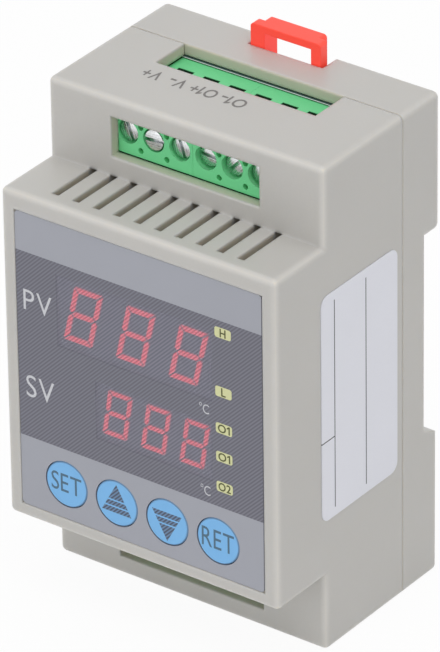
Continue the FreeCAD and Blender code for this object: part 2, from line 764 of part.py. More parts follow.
def add_rail_lips(body):
    """Fixed lips for the rail's lower edge, and hollows in the seat under lips and catch."""
    s = size
    seat = front_sketch(body, 0)
    for side in (-1, 1):
        centre = side * s.lip_spacing / 2
        rectangle(seat, centre - s.lip_width / 2 - s.play, centre + s.lip_width / 2 + s.play,
                  -at.rail_half, -at.rail_half + s.lip_reach + s.play)
    rectangle(seat, -at.clip_half - s.play, at.clip_half + s.play,
              at.hook_low - s.play, at.rail_half)
    pocket(body, seat, s.relief, turned=True)
    root = -at.rail_half - s.foot_fall
    lip = outline(side_sketch(body, -s.lip_spacing / 2), [
        (at.hook_front, root), (s.foot_depth, root), (s.foot_depth, -at.rail_half),
        (at.hook_front + s.lip_thickness / 2, -at.rail_half + s.lip_reach),
        (at.hook_front, -at.rail_half + s.lip_reach)])
    row_of(body, pad(body, lip, s.lip_width, both_sides=True), s.lip_spacing, 2)


def add_tongues(body):
    """Snap tongues inside the cover's side walls, each with a bead."""
    s = size
    face = at.inner_half - s.fit
    inner = face - s.tongue_thickness
    front = at.seam_y - s.tongue_height
    bead = snap_bead()
    tip = face + s.snap_height
    tongues = top_sketch(body, at.bottom_z + s.tongue_inset)
    for side in (1, -1):
        outline(tongues, [
            (side * inner, front), (side * face, front), (side * face, bead - s.snap_height),
            (side * tip, bead), (side * face, bead + s.snap_height), (side * face, at.base_front),
            (side * at.inner_half, at.base_front), (side * at.inner_half, -s.wall),
            (side * inner, -s.wall)])
    pad(body, tongues, s.case_height - 2 * s.tongue_inset)


def board_screw_places():
    """Two of the four posts, across a diagonal."""
    return [(-at.post_x, at.post_low), (at.post_x, at.post_high)]


def add_board_posts(body):
    """Posts that carry the main board, two with pilot holes for its screws."""
    s = size
    for z, behind_seat in ((at.post_low, s.foot_depth), (at.post_high, s.rear_depth)):
        posts = front_sketch(body, at.board_back)
        for x in (-at.post_x, at.post_x):
            centred(posts, x, z, s.post_side, s.post_side)
        pad(body, posts, behind_seat - s.wall / 2 - at.board_back, turned=True)
    pilots = front_sketch(body, at.board_back)
    for x, z in board_screw_places():
        octagon(pilots, x, z, s.fastener_shank + 2 * s.face_gap)
    pocket(body, pilots, s.fastener_grip + s.play)


def make_rail_clip():
    """Sliding catch: a flanged plate with a pull loop above and a hook below."""
    s = size
    body = new_body("rail_clip")
    plate = rectangle(front_sketch(body, at.clip_front), -at.clip_half, at.clip_half,
                      at.rail_half + s.play, at.clip_top)
    pad(body, plate, s.clip_flange, turned=True)
    spine = outline(side_sketch(body), [
        (at.hook_front, at.hook_low), (at.hook_front + s.lip_thickness / 2, at.hook_low),
        (at.clip_back, at.rail_half), (at.clip_back, at.clip_top),
        (at.clip_step - s.fit, at.clip_top), (at.clip_step - s.fit, at.rail_half + s.play),
        (at.hook_front, at.rail_half + s.play)])
    pad(body, spine, 2 * at.clip_rear_half, both_sides=True)
    loop = rectangle(front_sketch(body, at.clip_front),
                     -at.clip_half + s.clip_leg_left, at.clip_half - s.clip_leg,
                     at.top_z - s.loop_sunk, at.clip_top - s.clip_bar)
    pocket(body, loop, s.clip_depth)
    slot = rectangle(front_sketch(body, at.clip_front),
                     -s.stop_width / 2 - s.play, s.stop_width / 2 + s.play,
                     at.stop_low - s.clip_travel - s.play, at.stop_high + s.play)
    slotted = pocket(body, slot, s.clip_flange)

    def loop_corner(points):
        return along(points, "y") and all_at(points, z=at.clip_top)

    round_edges(body, slotted, s.clip_radius, loop_corner)
    return keep(body)


def make_front_film():
    """Printed foil with a hole for each key."""
    s = size
    body = new_body("front_film")
    sheet_outline = rectangle(front_sketch(body, at.film_back), -at.film_half, at.film_half,
                              at.film_low, at.film_high)
    foil = pad(body, sheet_outline, s.film_thickness)
    round_edges(body, foil, s.film_radius, lambda points: along(points, "y"))
    hole = circle(front_sketch(body, at.film_front), key_x(0), at.key_z,
                  s.key_diameter + 2 * s.fit)
    row_of(body, pocket(body, hole, s.film_thickness), s.key_pitch, len(KEY_NAMES))
    keep(body)


def make_keys():
    """Round key caps with a square collar behind the front wall, and the plungers they press."""
    s = size
    cap_front = at.film_front - s.key_proud
    half = s.plunger_side / 2
    for row, name in enumerate(KEY_NAMES):
        x = key_x(row)
        key = new_body("key_" + name)
        collar = centred(front_sketch(key, at.collar_back), x, at.key_z, s.key_flange, s.key_flange)
        pad(key, collar, s.key_collar)
        cap = circle(front_sketch(key, at.collar_front), x, at.key_z, s.key_diameter)
        bevel_edges(key, pad(key, cap, at.collar_front - cap_front), s.key_bevel,
                    lambda points: all_at(points, y=cap_front))
        keep(key)
        keep(block("plunger_" + name, x - half, x + half,
                   at.plunger_front, at.switch_front + s.plunger_sunk,
                   at.key_z - half, at.key_z + half))


def make_key_switches():
    """Four square switch bodies on the display board, open for their plungers."""
    s = size
    half = s.switch_side / 2
    well_half = s.plunger_side / 2 + s.fit
    well_back = at.switch_front + s.plunger_sunk + s.key_travel + s.play
    switches = []
    for row, name in enumerate(KEY_NAMES):
        x = key_x(row)
        case = block("switch_case_" + name, x - half, x + half, at.switch_front, at.panel_front,
                     at.key_z - half, at.key_z + half)
        well = block("switch_well_" + name, x - well_half, x + well_half, at.switch_front, well_back,
                     at.key_z - well_half, at.key_z + well_half)
        switches.append(cut("switch_" + name, case, well))
    keep(group("key_switches", switches))


def make_boards():
    """Main board with holes for pins and screws, and the display board."""
    s = size
    main = new_body("main_board")
    plate = rectangle(front_sketch(main, at.board_back), -at.board_half, at.board_half,
                      at.board_low, at.board_high)
    pad(main, plate, s.board_thickness)
    screw_holes = front_sketch(main, at.board_front)
    for x, z in board_screw_places():
        octagon(screw_holes, x, z, s.fastener_shank + 2 * s.play)
    pocket(main, screw_holes, s.board_thickness)
    for z in (at.wire_top - pin_drop(), at.wire_bottom + pin_drop()):
        pin_hole = centred(front_sketch(main, at.board_front), pole_x(0), z,
                           s.pin_width + 2 * s.play, s.contact_thickness + 2 * s.play)
        row_of(main, pocket(main, pin_hole, s.board_thickness), s.pole_pitch, SCREWS_IN_A_ROW)
    header_hole = centred(front_sketch(main, at.board_front), header_x(0), -s.header_drop,
                          s.header_pin + 2 * s.fit, s.header_pin + 2 * s.fit)
    row_of(main, pocket(main, header_hole, s.board_thickness), s.header_pitch, HEADER_PINS)
    keep(main)
    panel = new_body("display_board")
    panel_half = at.inner_half - s.board_gap
    plate = rectangle(front_sketch(panel, at.panel_back), -panel_half, panel_half,
                      at.shelf_low + s.wall + s.board_gap, at.shelf_high - s.wall - s.board_gap)
    pad(panel, plate, s.board_thickness)
    keep(panel)


def pin_drop():
    """Solder pins from the wire face, beyond the cages."""
    return size.terminal_height - size.cavity_cap - size.fit - size.contact_thickness / 2


def header_x(row):
    return (row - (HEADER_PINS - 1) / 2) * size.header_pitch


def make_displays():
    """Display modules with their lit segments, and the indicator lamps."""
    s = size
    for name, middle, z in (("pv", s.pv_offset, at.pv_z), ("sv", s.sv_offset, at.sv_z)):
        width = getattr(size, name + "_width")
        height = getattr(size, name + "_height")
        keep(block(name + "_display", middle - width / 2, middle + width / 2,
                   at.display_face, at.panel_front, z - height / 2, z + height / 2))
        make_segments(name, middle, z)
    lamps = []
    for name, z in zip(LAMP_NAMES, lamp_heights()):
        half = s.lamp_width / 2
        tall = s.lamp_height / 2
        lens = block("lamp_lens_" + name, at.lamp_x - half, at.lamp_x + half,
                     at.film_back + s.face_gap, at.panel_front, z - tall, z + tall)
        foot = block("lamp_foot_" + name, at.lamp_x - half - s.lamp_foot,
                     at.lamp_x + half + s.lamp_foot, at.panel_front - s.lamp_foot_depth,
                     at.panel_front, z - tall - s.lamp_foot, z + tall + s.lamp_foot)
        lamps.append(joined("lamp_" + name, [lens, foot]))
    keep(group("indicator_leds", lamps))


def segment_corners(width, height, stroke):
    """Corners of the seven bars of an upright digit about its own middle, mitred where two bars meet."""
    half = width / 2
    top = height / 2
    nip = size.segment_gap / 2
    inner = half - stroke
    shelf = top - stroke
    tip = half - stroke / 2
    bars = [[(-tip + nip, 0), (-inner + nip, -stroke / 2), (inner - nip, -stroke / 2), (tip - nip, 0),
             (inner - nip, stroke / 2), (-inner + nip, stroke / 2)]]
    for way in (1, -1):
        bars.append([(-half + nip, way * top), (half - nip, way * top),
                     (inner - nip, way * shelf), (-inner + nip, way * shelf)])
        for side in (1, -1):
            bars.append([(side * half, way * (top - nip)), (side * half, way * (nip + stroke / 2)),
                         (side * tip, way * nip), (side * inner, way * (nip + stroke / 2)),
                         (side * inner, way * (shelf - nip))])
    return bars


def make_segments(name, middle, z):
    """Three leaning digits of seven bars each on the face of a display."""
    width, height, pitch, slant, stroke = (
        getattr(size, f"{name}_{part}")
        for part in ("digit_width", "digit_height", "digit_pitch", "slant", "stroke"))
    digits = []
    for row in range(DIGITS):
        body = new_body(f"{name}_digit_{row + 1}")
        bars = front_sketch(body, 0)
        for corners in segment_corners(width, height, stroke):
            outline(bars, [(x + slant * up, up) for x, up in corners])
        pad(body, bars, size.segment_thickness)
        put(body, middle + (row - (DIGITS - 1) / 2) * pitch, at.display_face, z)
        digits.append(body)
    keep(group(name + "_segments", digits))


def make_terminal(label, end, side):
    """Three-pole housing: screw holes in its face, wire entries, cavities open to the board."""
    s = size
    body = new_body(label)
    # Half a turn changes left and right, so the end wall is on the other side there.
    wall_side = side if end == "top" else -side
    half = POLES * s.pole_pitch / 2
    left = -half - (s.end_wall if wall_side < 0 else -s.housing_gap)
    right = half + (s.end_wall if wall_side > 0 else -s.housing_gap)
    plan = rectangle(front_sketch(body, 0), left, right, -s.terminal_height, 0)
    pad(body, plan, at.terminal_depth, turned=True)
    first = -(POLES - 1) / 2 * s.pole_pitch
    head = circle(front_sketch(body, 0), first, -s.screw_drop, s.screw_hole)
    row_of(body, pocket(body, head, at.web_front), s.pole_pitch, POLES)
    shank_hole = shank_corners() + 2 * s.play
    shank = centred(front_sketch(body, 0), first, -s.screw_drop, shank_hole, shank_hole)
    row_of(body, pocket(body, shank, at.cavity_front), s.pole_pitch, POLES)
    cavity_half = (s.pole_pitch - s.cavity_wall) / 2
    cavity = rectangle(front_sketch(body, at.cavity_front), first - cavity_half, first + cavity_half,
                       -s.terminal_height + s.cavity_cap, -s.cavity_cap)
    row_of(body, pocket(body, cavity, at.terminal_depth), s.pole_pitch, POLES)
    entry = rectangle(top_sketch(body, 0), first - s.wire_entry_width / 2,
                      first + s.wire_entry_width / 2,
                      at.contact_back + s.fit, at.floor_front + s.fit)
    row_of(body, pocket(body, entry, s.cavity_cap), s.pole_pitch, POLES)
    between = first + s.pole_pitch / 2
    probes = front_sketch(body, 0)
    for drop in (s.probe_drop_one, s.probe_drop_two):
        octagon(probes, between, -drop, s.probe_hole)
    row_of(body, pocket(body, probes, s.probe_depth), s.pole_pitch, POLES - 1)
    middle = side * POLES * s.pole_pitch / 2
    keep(put(body, middle, at.terminal_face, getattr(at, "wire_" + end), ENDS[end]))


def shank_corners():
    """Width of a screw's shank across its corners, which turn in the round of the thread."""
    return size.screw_shank * OCTAGON_CORNERS


def make_screw(label, x, z, angle, backed_out):
    """Slotted clamp screw, turned about its own axis to its resting angle and depth."""
    s = size
    middle = _size(0)
    screw = new_body(label)
    head = circle(front_sketch(screw, s.screw_head_depth), middle, middle, s.screw_head)
    pad(screw, head, s.screw_head_depth)
    shank = octagon(front_sketch(screw, s.screw_head_depth), middle, middle, s.screw_shank)
    pad(screw, shank, at.screw_tip - s.screw_recess - s.screw_head_depth, turned=True)
    slot = centred(front_sketch(screw, 0), middle, middle, s.screw_head, s.screw_slot)
    pocket(screw, slot, s.screw_slot_depth)
    front = at.terminal_face + s.screw_recess * (1 - backed_out)
    keep(put(screw, x, front, z, -angle))


def cage_low():
    """Inner end of a cage, as far from the screw as the cage's length allows."""
    return -size.cavity_cap - 2 * size.play - size.cage_length


def make_cage(label, x, z, turn):
    """Clamp cage: a square loop around the wire, threaded in its front wall."""
    s = size
    half = (s.pole_pitch - s.cavity_wall) / 2 - s.play
    body = new_body(label)
    loop = rectangle(front_sketch(body, at.nut_front), -half, half,
                     cage_low(), cage_low() + s.cage_length)
    pad(body, loop, at.floor_front + s.cage_floor - at.nut_front, turned=True)
    mouth = rectangle(top_sketch(body, 0), -half + s.cage_wall, half - s.cage_wall,
                      at.nut_back, at.floor_front)
    pocket(body, mouth, s.terminal_height)
    thread = octagon(front_sketch(body, at.nut_front), _size(0), -s.screw_drop,
                     shank_corners() + 2 * s.thread_play)
    pocket(body, thread, s.nut_wall)
    keep(put(body, x, at.terminal_face, z, turn))


def make_contact(label, x, z, turn):
    """Contact bar through the cage, with a pin that goes down into the main board."""
    s = size
    low = -pin_drop() - s.contact_thickness / 2
    body = new_body(label)
    bar = rectangle(front_sketch(body, at.contact_front), -s.contact_width / 2, s.contact_width / 2,
                    low, -s.cavity_cap - s.play)
    pad(body, bar, s.contact_thickness, turned=True)
    pin = rectangle(front_sketch(body, at.contact_front), -s.pin_width / 2, s.pin_width / 2,
                    low, low + s.contact_thickness)
    length = at.terminal_depth + s.board_thickness + s.pin_tail - at.contact_front
    pad(body, pin, length, turned=True)
    return put(body, x, at.terminal_face, z, turn)


def make_terminals():
    """Housings, screws, cages and contacts of both ends."""
    contacts = []
    for end, turn in ENDS.items():
        for side_name, side in (("left", -1), ("right", 1)):
            make_terminal(f"terminal_{end}_{side_name}", end, side)
        z = getattr(at, "wire_" + end)
        inward = -1 if end == "top" else 1
        for row in range(SCREWS_IN_A_ROW):
            x = pole_x(row)
            number = row + 1
            make_screw(f"screw_{end}_{number}", x, z + inward * size.screw_drop,
                       SLOT_ANGLES[end][row], BACKED_OUT[end][row])
            make_cage(f"cage_{end}_{number}", x, z, turn)
            contacts.append(make_contact(f"contact_{end}_{number}", x, z, turn))
    keep(group("terminal_contacts", contacts))


def make_header():
    """Pin strip on the main board and socket on the display board."""
    s = size
    half = s.header_side / 2
    left = header_x(0) - s.header_pitch / 2
    right = header_x(HEADER_PINS - 1) + s.header_pitch / 2
    low = -s.header_drop - half
    high = -s.header_drop + half
    strip = new_body("header_strip")
    plan = rectangle(front_sketch(strip, at.board_front), left, right, low, high)
    pad(strip, plan, s.header_side)
    socket = new_body("header_socket")
    plan = rectangle(front_sketch(socket, at.panel_back), left, right, low, high)
    pad(socket, plan, s.socket_depth, turned=True)
    strip_face = at.board_front - s.header_side
    socket_face = at.panel_back + s.socket_depth
    hole = s.header_pin + 2 * s.face_gap
    for body, face, depth, back in ((strip, strip_face, s.header_side, False),
                                    (socket, socket_face, s.header_insert + s.play, True)):
        square = centred(front_sketch(body, face), header_x(0), -s.header_drop, hole, hole)
        row_of(body, pocket(body, square, depth, turned=back), s.header_pitch, HEADER_PINS)
        keep(body)
    pin_half = s.header_pin / 2
    pins = []
    for row in range(HEADER_PINS):
        x = header_x(row)
        pins.append(block(f"header_pin_{row + 1}", x - pin_half, x + pin_half,
                          socket_face - s.header_insert, at.board_back + s.pin_tail,
                          -s.header_drop - pin_half, -s.header_drop + pin_half))
    keep(group("header_pins", pins))


def make_power_parts():
    """Relay, transformer and capacitor on the main board."""
    s = size
    relay = new_body("relay")
    plan = centred(front_sketch(relay, at.board_front), s.relay_x, s.relay_z,
                   s.relay_width, s.relay_height)
    case = pad(relay, plan, s.relay_depth)
    round_edges(relay, case, s.relay_round, lambda points: along(points, "y"))
    keep(relay)
    make_transformer()
    radius = s.can_diameter / 2
    can = turned_body("capacitor", [
        (0, 0), (radius, 0), (radius, -s.can_depth + s.can_bevel),
        (radius - s.can_bevel, -s.can_depth), (0, -s.can_depth)])
    keep(put(can, s.can_x, at.board_front, s.can_z))


def make_transformer():
    """Core with two windows, and the winding around its middle limb."""
    s = size
    half = s.core_width / 2
    leg = s.core_leg / 2
    back = at.board_front
    front = back - s.core_height
    window_front = front + s.core_limb
    window_back = back - s.core_limb
    core = new_body("transformer_core")
    plan = rectangle(top_sketch(core, 0), -half, half, front, back)
    pad(core, plan, s.core_thickness, both_sides=True)
    windows = top_sketch(core, 0)
    for left, right in ((leg, half - s.core_limb), (-half + s.core_limb, -leg)):
        rectangle(windows, left, right, window_front, window_back)
    pocket(core, windows, s.core_thickness, both_sides=True)
    keep(put(core, s.transformer_x, 0, s.transformer_z))
    coil = new_body("transformer_coil")
    coil_half = half - s.core_limb - s.coil_play
    coil_tall = s.core_thickness / 2 + s.coil_wall
    inner_tall = s.core_thickness / 2 + s.coil_play
    wound = front_sketch(coil, window_back - s.coil_play)
    rectangle(wound, -coil_half, coil_half, -coil_tall, coil_tall)
    rectangle(wound, -leg - s.coil_play, leg + s.coil_play, -inner_tall, inner_tall)
    pad(coil, wound, window_back - window_front - 2 * s.coil_play)
    keep(put(coil, s.transformer_x, 0, s.transformer_z))


def make_board_screws():
    """Two screws through the main board into the base's posts."""
    s = size
    screws = []
    for row, (x, z) in enumerate(board_screw_places(), 1):
        screw = new_body(f"board_screw_{row}")
        head = octagon(front_sketch(screw, at.board_front), x, z, s.fastener_head)
        pad(screw, head, s.fastener_head_depth)
        shank = octagon(front_sketch(screw, at.board_front), x, z, s.fastener_shank)
        pad(screw, shank, s.board_thickness + s.fastener_grip, turned=True)
        screws.append(screw)
    keep(group("board_screws", screws))


def make_side_label():
    """Blank label on the right side of the cover."""
    s = size
    body = new_body("side_label")
    front = at.front_y + s.label_setback
    plan = rectangle(side_sketch(body, at.half_width), front, front + s.label_width,
                     s.label_rise - s.label_height / 2, s.label_rise + s.label_height / 2)
    blank = pad(body, plan, s.label_thickness)
    round_edges(body, blank, s.label_radius, lambda points: along(points, "x"))
    keep(body)


def check_model():
    """Stops if any object failed, any pocket cut nothing or any sub-part isn't sound."""
    for obj in doc.Objects:
        if "Invalid" in obj.State or "Error" in obj.State:
            raise RuntimeError(f"{obj.Name} failed: {obj.State}")
        if obj.TypeId == "PartDesign::Pocket":
            removed = obj.BaseFeature.Shape.Volume - obj.Shape.Volume
            if removed < TINY:
                raise RuntimeError(f"{obj.Name} cuts nothing")
    for piece in pieces:
        if piece.Shape.isNull() or not piece.Shape.isValid():
            raise RuntimeError(f"{piece.Label} isn't a sound shape")


def write_pieces():
    os.makedirs("parts", exist_ok=True)
    for piece in pieces:
        piece.Shape.exportStep(os.path.join("parts", piece.Label + ".step"))


fill_sheet()
name_places()
make_front_cover()
make_rear_base()
make_rail_clip()
make_front_film()
make_keys()
make_key_switches()
make_boards()
make_displays()
make_terminals()
make_header()
make_power_parts()
make_board_screws()
make_side_label()
doc.recompute()
check_model()
write_pieces()
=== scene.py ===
import math

import bmesh
import bpy
from bpy.props import FloatProperty, FloatVectorProperty, PointerProperty
from mathutils import Matrix, Vector


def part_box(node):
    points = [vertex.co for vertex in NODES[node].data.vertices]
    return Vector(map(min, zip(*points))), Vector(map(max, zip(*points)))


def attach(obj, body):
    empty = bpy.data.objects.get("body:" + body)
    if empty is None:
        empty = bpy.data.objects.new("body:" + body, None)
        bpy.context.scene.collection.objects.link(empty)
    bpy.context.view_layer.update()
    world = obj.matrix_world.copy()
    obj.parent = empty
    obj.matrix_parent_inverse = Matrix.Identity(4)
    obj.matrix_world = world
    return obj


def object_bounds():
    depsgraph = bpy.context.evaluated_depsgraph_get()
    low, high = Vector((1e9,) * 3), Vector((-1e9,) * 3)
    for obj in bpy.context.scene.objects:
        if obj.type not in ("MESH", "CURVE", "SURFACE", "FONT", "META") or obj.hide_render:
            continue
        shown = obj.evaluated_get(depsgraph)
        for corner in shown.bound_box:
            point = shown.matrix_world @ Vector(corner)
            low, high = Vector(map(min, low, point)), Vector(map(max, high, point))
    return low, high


bl_info = {
    "name": "Rail temperature controller",
    "version": (1, 0, 0),
    "blender": (4, 5, 0),
    "location": "3D View > Sidebar > Controller",
    "description": "Finishes, printing and studio for a rail mounted temperature controller",
    "category": "Object",
}

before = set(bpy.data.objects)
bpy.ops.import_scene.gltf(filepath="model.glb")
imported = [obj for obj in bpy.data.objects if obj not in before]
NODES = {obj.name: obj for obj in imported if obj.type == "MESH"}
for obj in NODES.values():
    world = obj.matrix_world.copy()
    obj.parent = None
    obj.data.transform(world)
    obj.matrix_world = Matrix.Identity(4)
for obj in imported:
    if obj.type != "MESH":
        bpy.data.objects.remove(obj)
CAD_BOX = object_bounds()

MM = 0.001
FULL_TURN = 2 * math.pi
ENDS = ("top", "bottom")
KEYS = ("set", "up", "down", "return")
WAYS = range(1, 7)
PRINT_THICKNESS = 0.015 * MM
# Degrees that the slot of each screw leans from level, left to right.
SLOT_ANGLES = {"top": (112, 4, 108, 176, 45, 80), "bottom": (20, 95, 140, 60, 170, 118)}
# Letters that the built-in font draws too plainly, in its own units, and the space between letters.
OWN_LETTERS = {
    "1": ((0.3, 0), (0.3, 0.682), (0.22, 0.682), (0.05, 0.57), (0.05, 0.47), (0.202, 0.56), (0.202, 0)),
    "-": ((0, 0.17), (0.34, 0.17), (0.34, 0.265), (0, 0.265)),
}
LETTER_SPACE = 0.09
# How strongly each kind of surface bends light.
PLASTIC_IOR = 1.49
INK_IOR = 1.48
FILM_IOR = 1.5
HALF = 0.5
# Names above the screws: text, middle and width in millimetres.
TERMINAL_NAMES = (("V+", -13.5, 3.4), ("V-", -8.6, 3.2), ("O1+", -3.5, 4.9), ("O1-", 2.2, 4.8))
# Words on the film: piece, text, middle, and width and height in millimetres.
FILM_WORDS = (
    ("letters_pv", "PV", (-19.9, 9.35), (5.6, 3.7)),
    ("letters_sv", "SV", (-19.8, -6.4), (5.6, 4.0)),
    ("degrees_pv", "°C", (12.65, 1.2), (1.9, 1.8)),
    ("degrees_sv", "°C", (12.7, -13.7), (1.9, 1.8)))
# Signal tags: piece, text, height of the middle and width of the text in millimetres.
TAGS = (
    ("high", "H", 15.9, 1.15), ("low", "L", 5.25, 0.85), ("output_1", "O1", -1.4, 2.3),
    ("output_1_more", "O1", -6.6, 2.3), ("output_2", "O2", -12.1, 2.4))
TAG_MIDDLE = 16.45 * MM
TAG_WIDTH, TAG_HEIGHT, TAG_CORNER = 3.15 * MM, 1.85 * MM, 0.4 * MM
TAG_LETTER_HEIGHT = 1.5 * MM
# Words on keys: text, width and height in millimetres.
KEY_WORDS = {"set": ("SET", 6.0, 3.4), "return": ("RET", 6.3, 3.5)}
KEY_WORD_RISE = 0.2 * MM
# Arrows on keys: half of the base, height, base below the middle, and bands as shares of the height.
ARROW_HALF, ARROW_HEIGHT, ARROW_BASE = 2.9 * MM, 5.25 * MM, 1.8 * MM
ARROW_BANDS = ((0.0, 0.18), (0.235, 0.40), (0.455, 1.0))
# Lamps: name, direction that the light comes from, and its setting.
LAMPS = (
    ("top_lamp", (0.1, -0.15, 1.0), "top_light"),
    ("front_lamp", (-0.1, -1.0, 0.15), "front_light"),
    ("side_lamp", (0.95, -0.35, 0.4), "side_light"))
LAMP_DISTANCE, LAMP_SIDE = 1.5, 1.2
FLOOR_REACH = 3.0
SENSOR_WIDTH = 36.0
NEAREST, FARTHEST = 0.05, 20.0


def linear(code):
    """Linear colour of a six digit screen colour code."""
    parts = (int(code[start:start + 2], 16) / 255 for start in (1, 3, 5))
    return tuple(p / 12.92 if p <= 0.04045 else ((p + 0.055) / 1.055) ** 2.4 for p in parts)


def tint(name, description, code):
    """A colour property."""
    return FloatVectorProperty(
        name=name, description=description, subtype="COLOR", size=3, min=0, max=1, default=linear(code))


def length(name, description, millimetres):
    """A length property, kept in metres."""
    return FloatProperty(
        name=name, description=description, unit="LENGTH", precision=6, default=millimetres * MM)


def turn(name, description, degrees):
    """An angle property."""
    return FloatProperty(
        name=name, description=description, subtype="ANGLE", default=math.radians(degrees))


def share(name, description, amount):
    """A property from nothing to all."""
    return FloatProperty(
        name=name, description=description, subtype="FACTOR", min=0, max=1, default=amount)


class CaseSettings(bpy.types.PropertyGroup):
    """Cover, base and what is printed on them."""

    plastic: tint("Plastic", "Warm grey of the cover and base", "#BFBDB9")
    # Painted light: paler, warmer colour on the walls of the openings and in the seam, standing in for
    # light through the thin plastic.
    painted_wall_light: tint("Wall", "Warmer plastic where light comes through the walls of openings", "#CCC5B8")
    step: length("Step", "Face of the two steps, from the rail seat", -27.0)
    upper_shelf: length("Upper shelf", "Height of the upper step's shelf", 28.4)
    lower_shelf: length("Lower shelf", "Height of the lower step's shelf", -31.4)
    base_rim: length("Base rim", "Front rim of the base, from the rail seat", -5.75)
    roughness: share("Roughness", "Roughness of the satin surface", 0.36)
    soft_edge: length("Soft edge", "Radius that the moulded edges catch light over", 0.75)
    ink: tint("Ink", "Grey of the printing above the screws", "#73706D")
    ink_height: length("Ink height", "Height of the letters printed above the screws", 2.7)
    ink_y: length("Ink line", "Middle of the printed line, from the rail seat", -17.05)


class CatchSettings(bpy.types.PropertyGroup):
    """Sliding rail catch."""

    plastic: tint("Plastic", "Red of the catch", "#FF4A3A")
    roughness: share("Roughness", "Roughness of the catch", 0.38)
    # Painted glow: a little emission keeps the red bright in shade; the catch is no lamp.
    glow: share("Glow", "How much the fluorescent red gives back", 0.18)


class FilmSettings(bpy.types.PropertyGroup):
    """Printed front film and the digits under it."""

    plain: tint("Plain band", "Blue grey of the upper and lower band", "#9EA0A9")
    stripe_light: tint("Light stripe", "Lighter stripe of the dark band", "#747480")
    stripe_dark: tint("Dark stripe", "Darker stripe of the dark band", "#5D5D68")
    pitch: length("Stripe pitch", "Distance from stripe to stripe", 0.49)
    band_low: length("Band low", "Lower end of the dark band", -15.9)
    band_high: length("Band high", "Upper end of the dark band", 18.05)
    cover_light: share("Light stripe cover", "How much the light stripes hide the digits", 0.45)
    cover_dark: share("Dark stripe cover", "How much the dark stripes hide the digits", 0.58)
    # Painted shadow: a dark line along the film's right edge, where the gap to the recess wall lies in
    # shade.
    rim: tint("Rim", "Dark cut edge of the film", "#44444C")
    letter: tint("Letters", "Pale grey of the printed letters", "#C8C9CE")
    tag: tint("Tag", "Yellow of the signal tags", "#D1D29F")
    tag_ink: tint("Tag ink", "Dark print on the signal tags", "#4A4D20")
    resin: tint("Resin", "Black resin of the displays", "#17171A")
    lit: tint("Lit digit", "Red of the lit digits", "#FF2A36")
    lit_strength: FloatProperty(name="Digit light", description="Light given by the digits", default=1.2)


class KeySettings(bpy.types.PropertyGroup):
    """Round keys."""

    face: tint("Face", "Blue of the keys", "#76B4E7")
    ring: tint("Ring", "Dark line round a key", "#6A93BA")
    ink: tint("Ink", "Print on a key", "#48687F")
    arrow: tint("Arrow", "Darker stripe of an arrow", "#40495C")
    arrow_stripe: tint("Arrow stripe", "Lighter stripe of an arrow", "#6482A4")
    plunger: tint("Plunger", "Pale plunger behind a key", "#D8D6D0")
    ring_radius: length("Ring radius", "Where the dark line begins", 3.88)
    pitch: length("Pitch", "Distance from key to key", 10.0)
    height: length("Height", "Height of the keys' middle", -22.4)


class TerminalSettings(bpy.types.PropertyGroup):
    """Terminal strips with their screws and cages."""

    plastic: tint("Plastic", "Green of the terminal strips", "#70D894")
    zinc: tint("Zinc", "Plated screws", "#E9EBED")
    cage: tint("Cage", "Plated cages", "#C4C4BE")
    contact: tint("Contact", "Tinned contacts", "#C9C3B2")
    middle: length("Middle", "Height halfway between the two ends", -1.5)
    wire_reach: length("Wire reach", "Height of a wire face from the middle", 41.4)
    # Painted shade: the lower housings' foot is painted dark below this height, and the wire entries
    # between entry front and back are painted black.
    dark_below: length("Dark below", "Height under which the lower housings lie in the dark", -40.3)
    entry_front: length("Entry front", "Front of the wire entries", -13.65)
    entry_back: length("Entry back", "Back of the wire entries", -8.95)


class LabelSettings(bpy.types.PropertyGroup):
    """Bare side label."""

    paper: tint("Paper", "White of the label", "#E0E1E9")
    rule: tint("Rule", "Dark rules on the label", "#33343A")
    rule_width: length("Rule width", "Width of a rule", 0.22)
    first_rule: length("First rule", "Place of the rule nearer the front", -24.6)
    second_rule: length("Second rule", "Place of the rule nearer the back", -16.1)
    cross_rule: length("Cross rule", "Height of the short cross rule", -6.4)
    margin: length("Margin", "Rules end this far from the label's ends", 1.6)


class InsideSettings(bpy.types.PropertyGroup):
    """Boards and parts inside the case."""

    board: tint("Board", "Green of the boards", "#1F5F3A")
    trace: tint("Trace", "Paler green over copper", "#2F7F4E")
    rim: tint("Rim", "Cut edge of a board", "#54746C")
    # Painted highlight: pale line along a board's front corner.
    lip_highlight: tint("Lip", "Pale line along a board's front corner", "#E4ECEA")
    relay: tint("Relay", "Blue relay case", "#2C4F8C")
    ferrite: tint("Ferrite", "Dark core", "#3A3735")
    tape: tint("Tape", "Yellow tape round the coil", "#D9B23C")
    sleeve: tint("Sleeve", "Dark sleeve of the capacitor", "#20252B")
    sleeve_stripe: tint("Sleeve stripe", "Pale stripe on the capacitor's sleeve", "#B9BCC0")
    screw: tint("Screw", "Plain screws of the main board", "#C8C8C4")
    black: tint("Black", "Black connectors and switches", "#1B1B1C")
    lamp: tint("Lamp", "Pale green lamps", "#C9D68A")


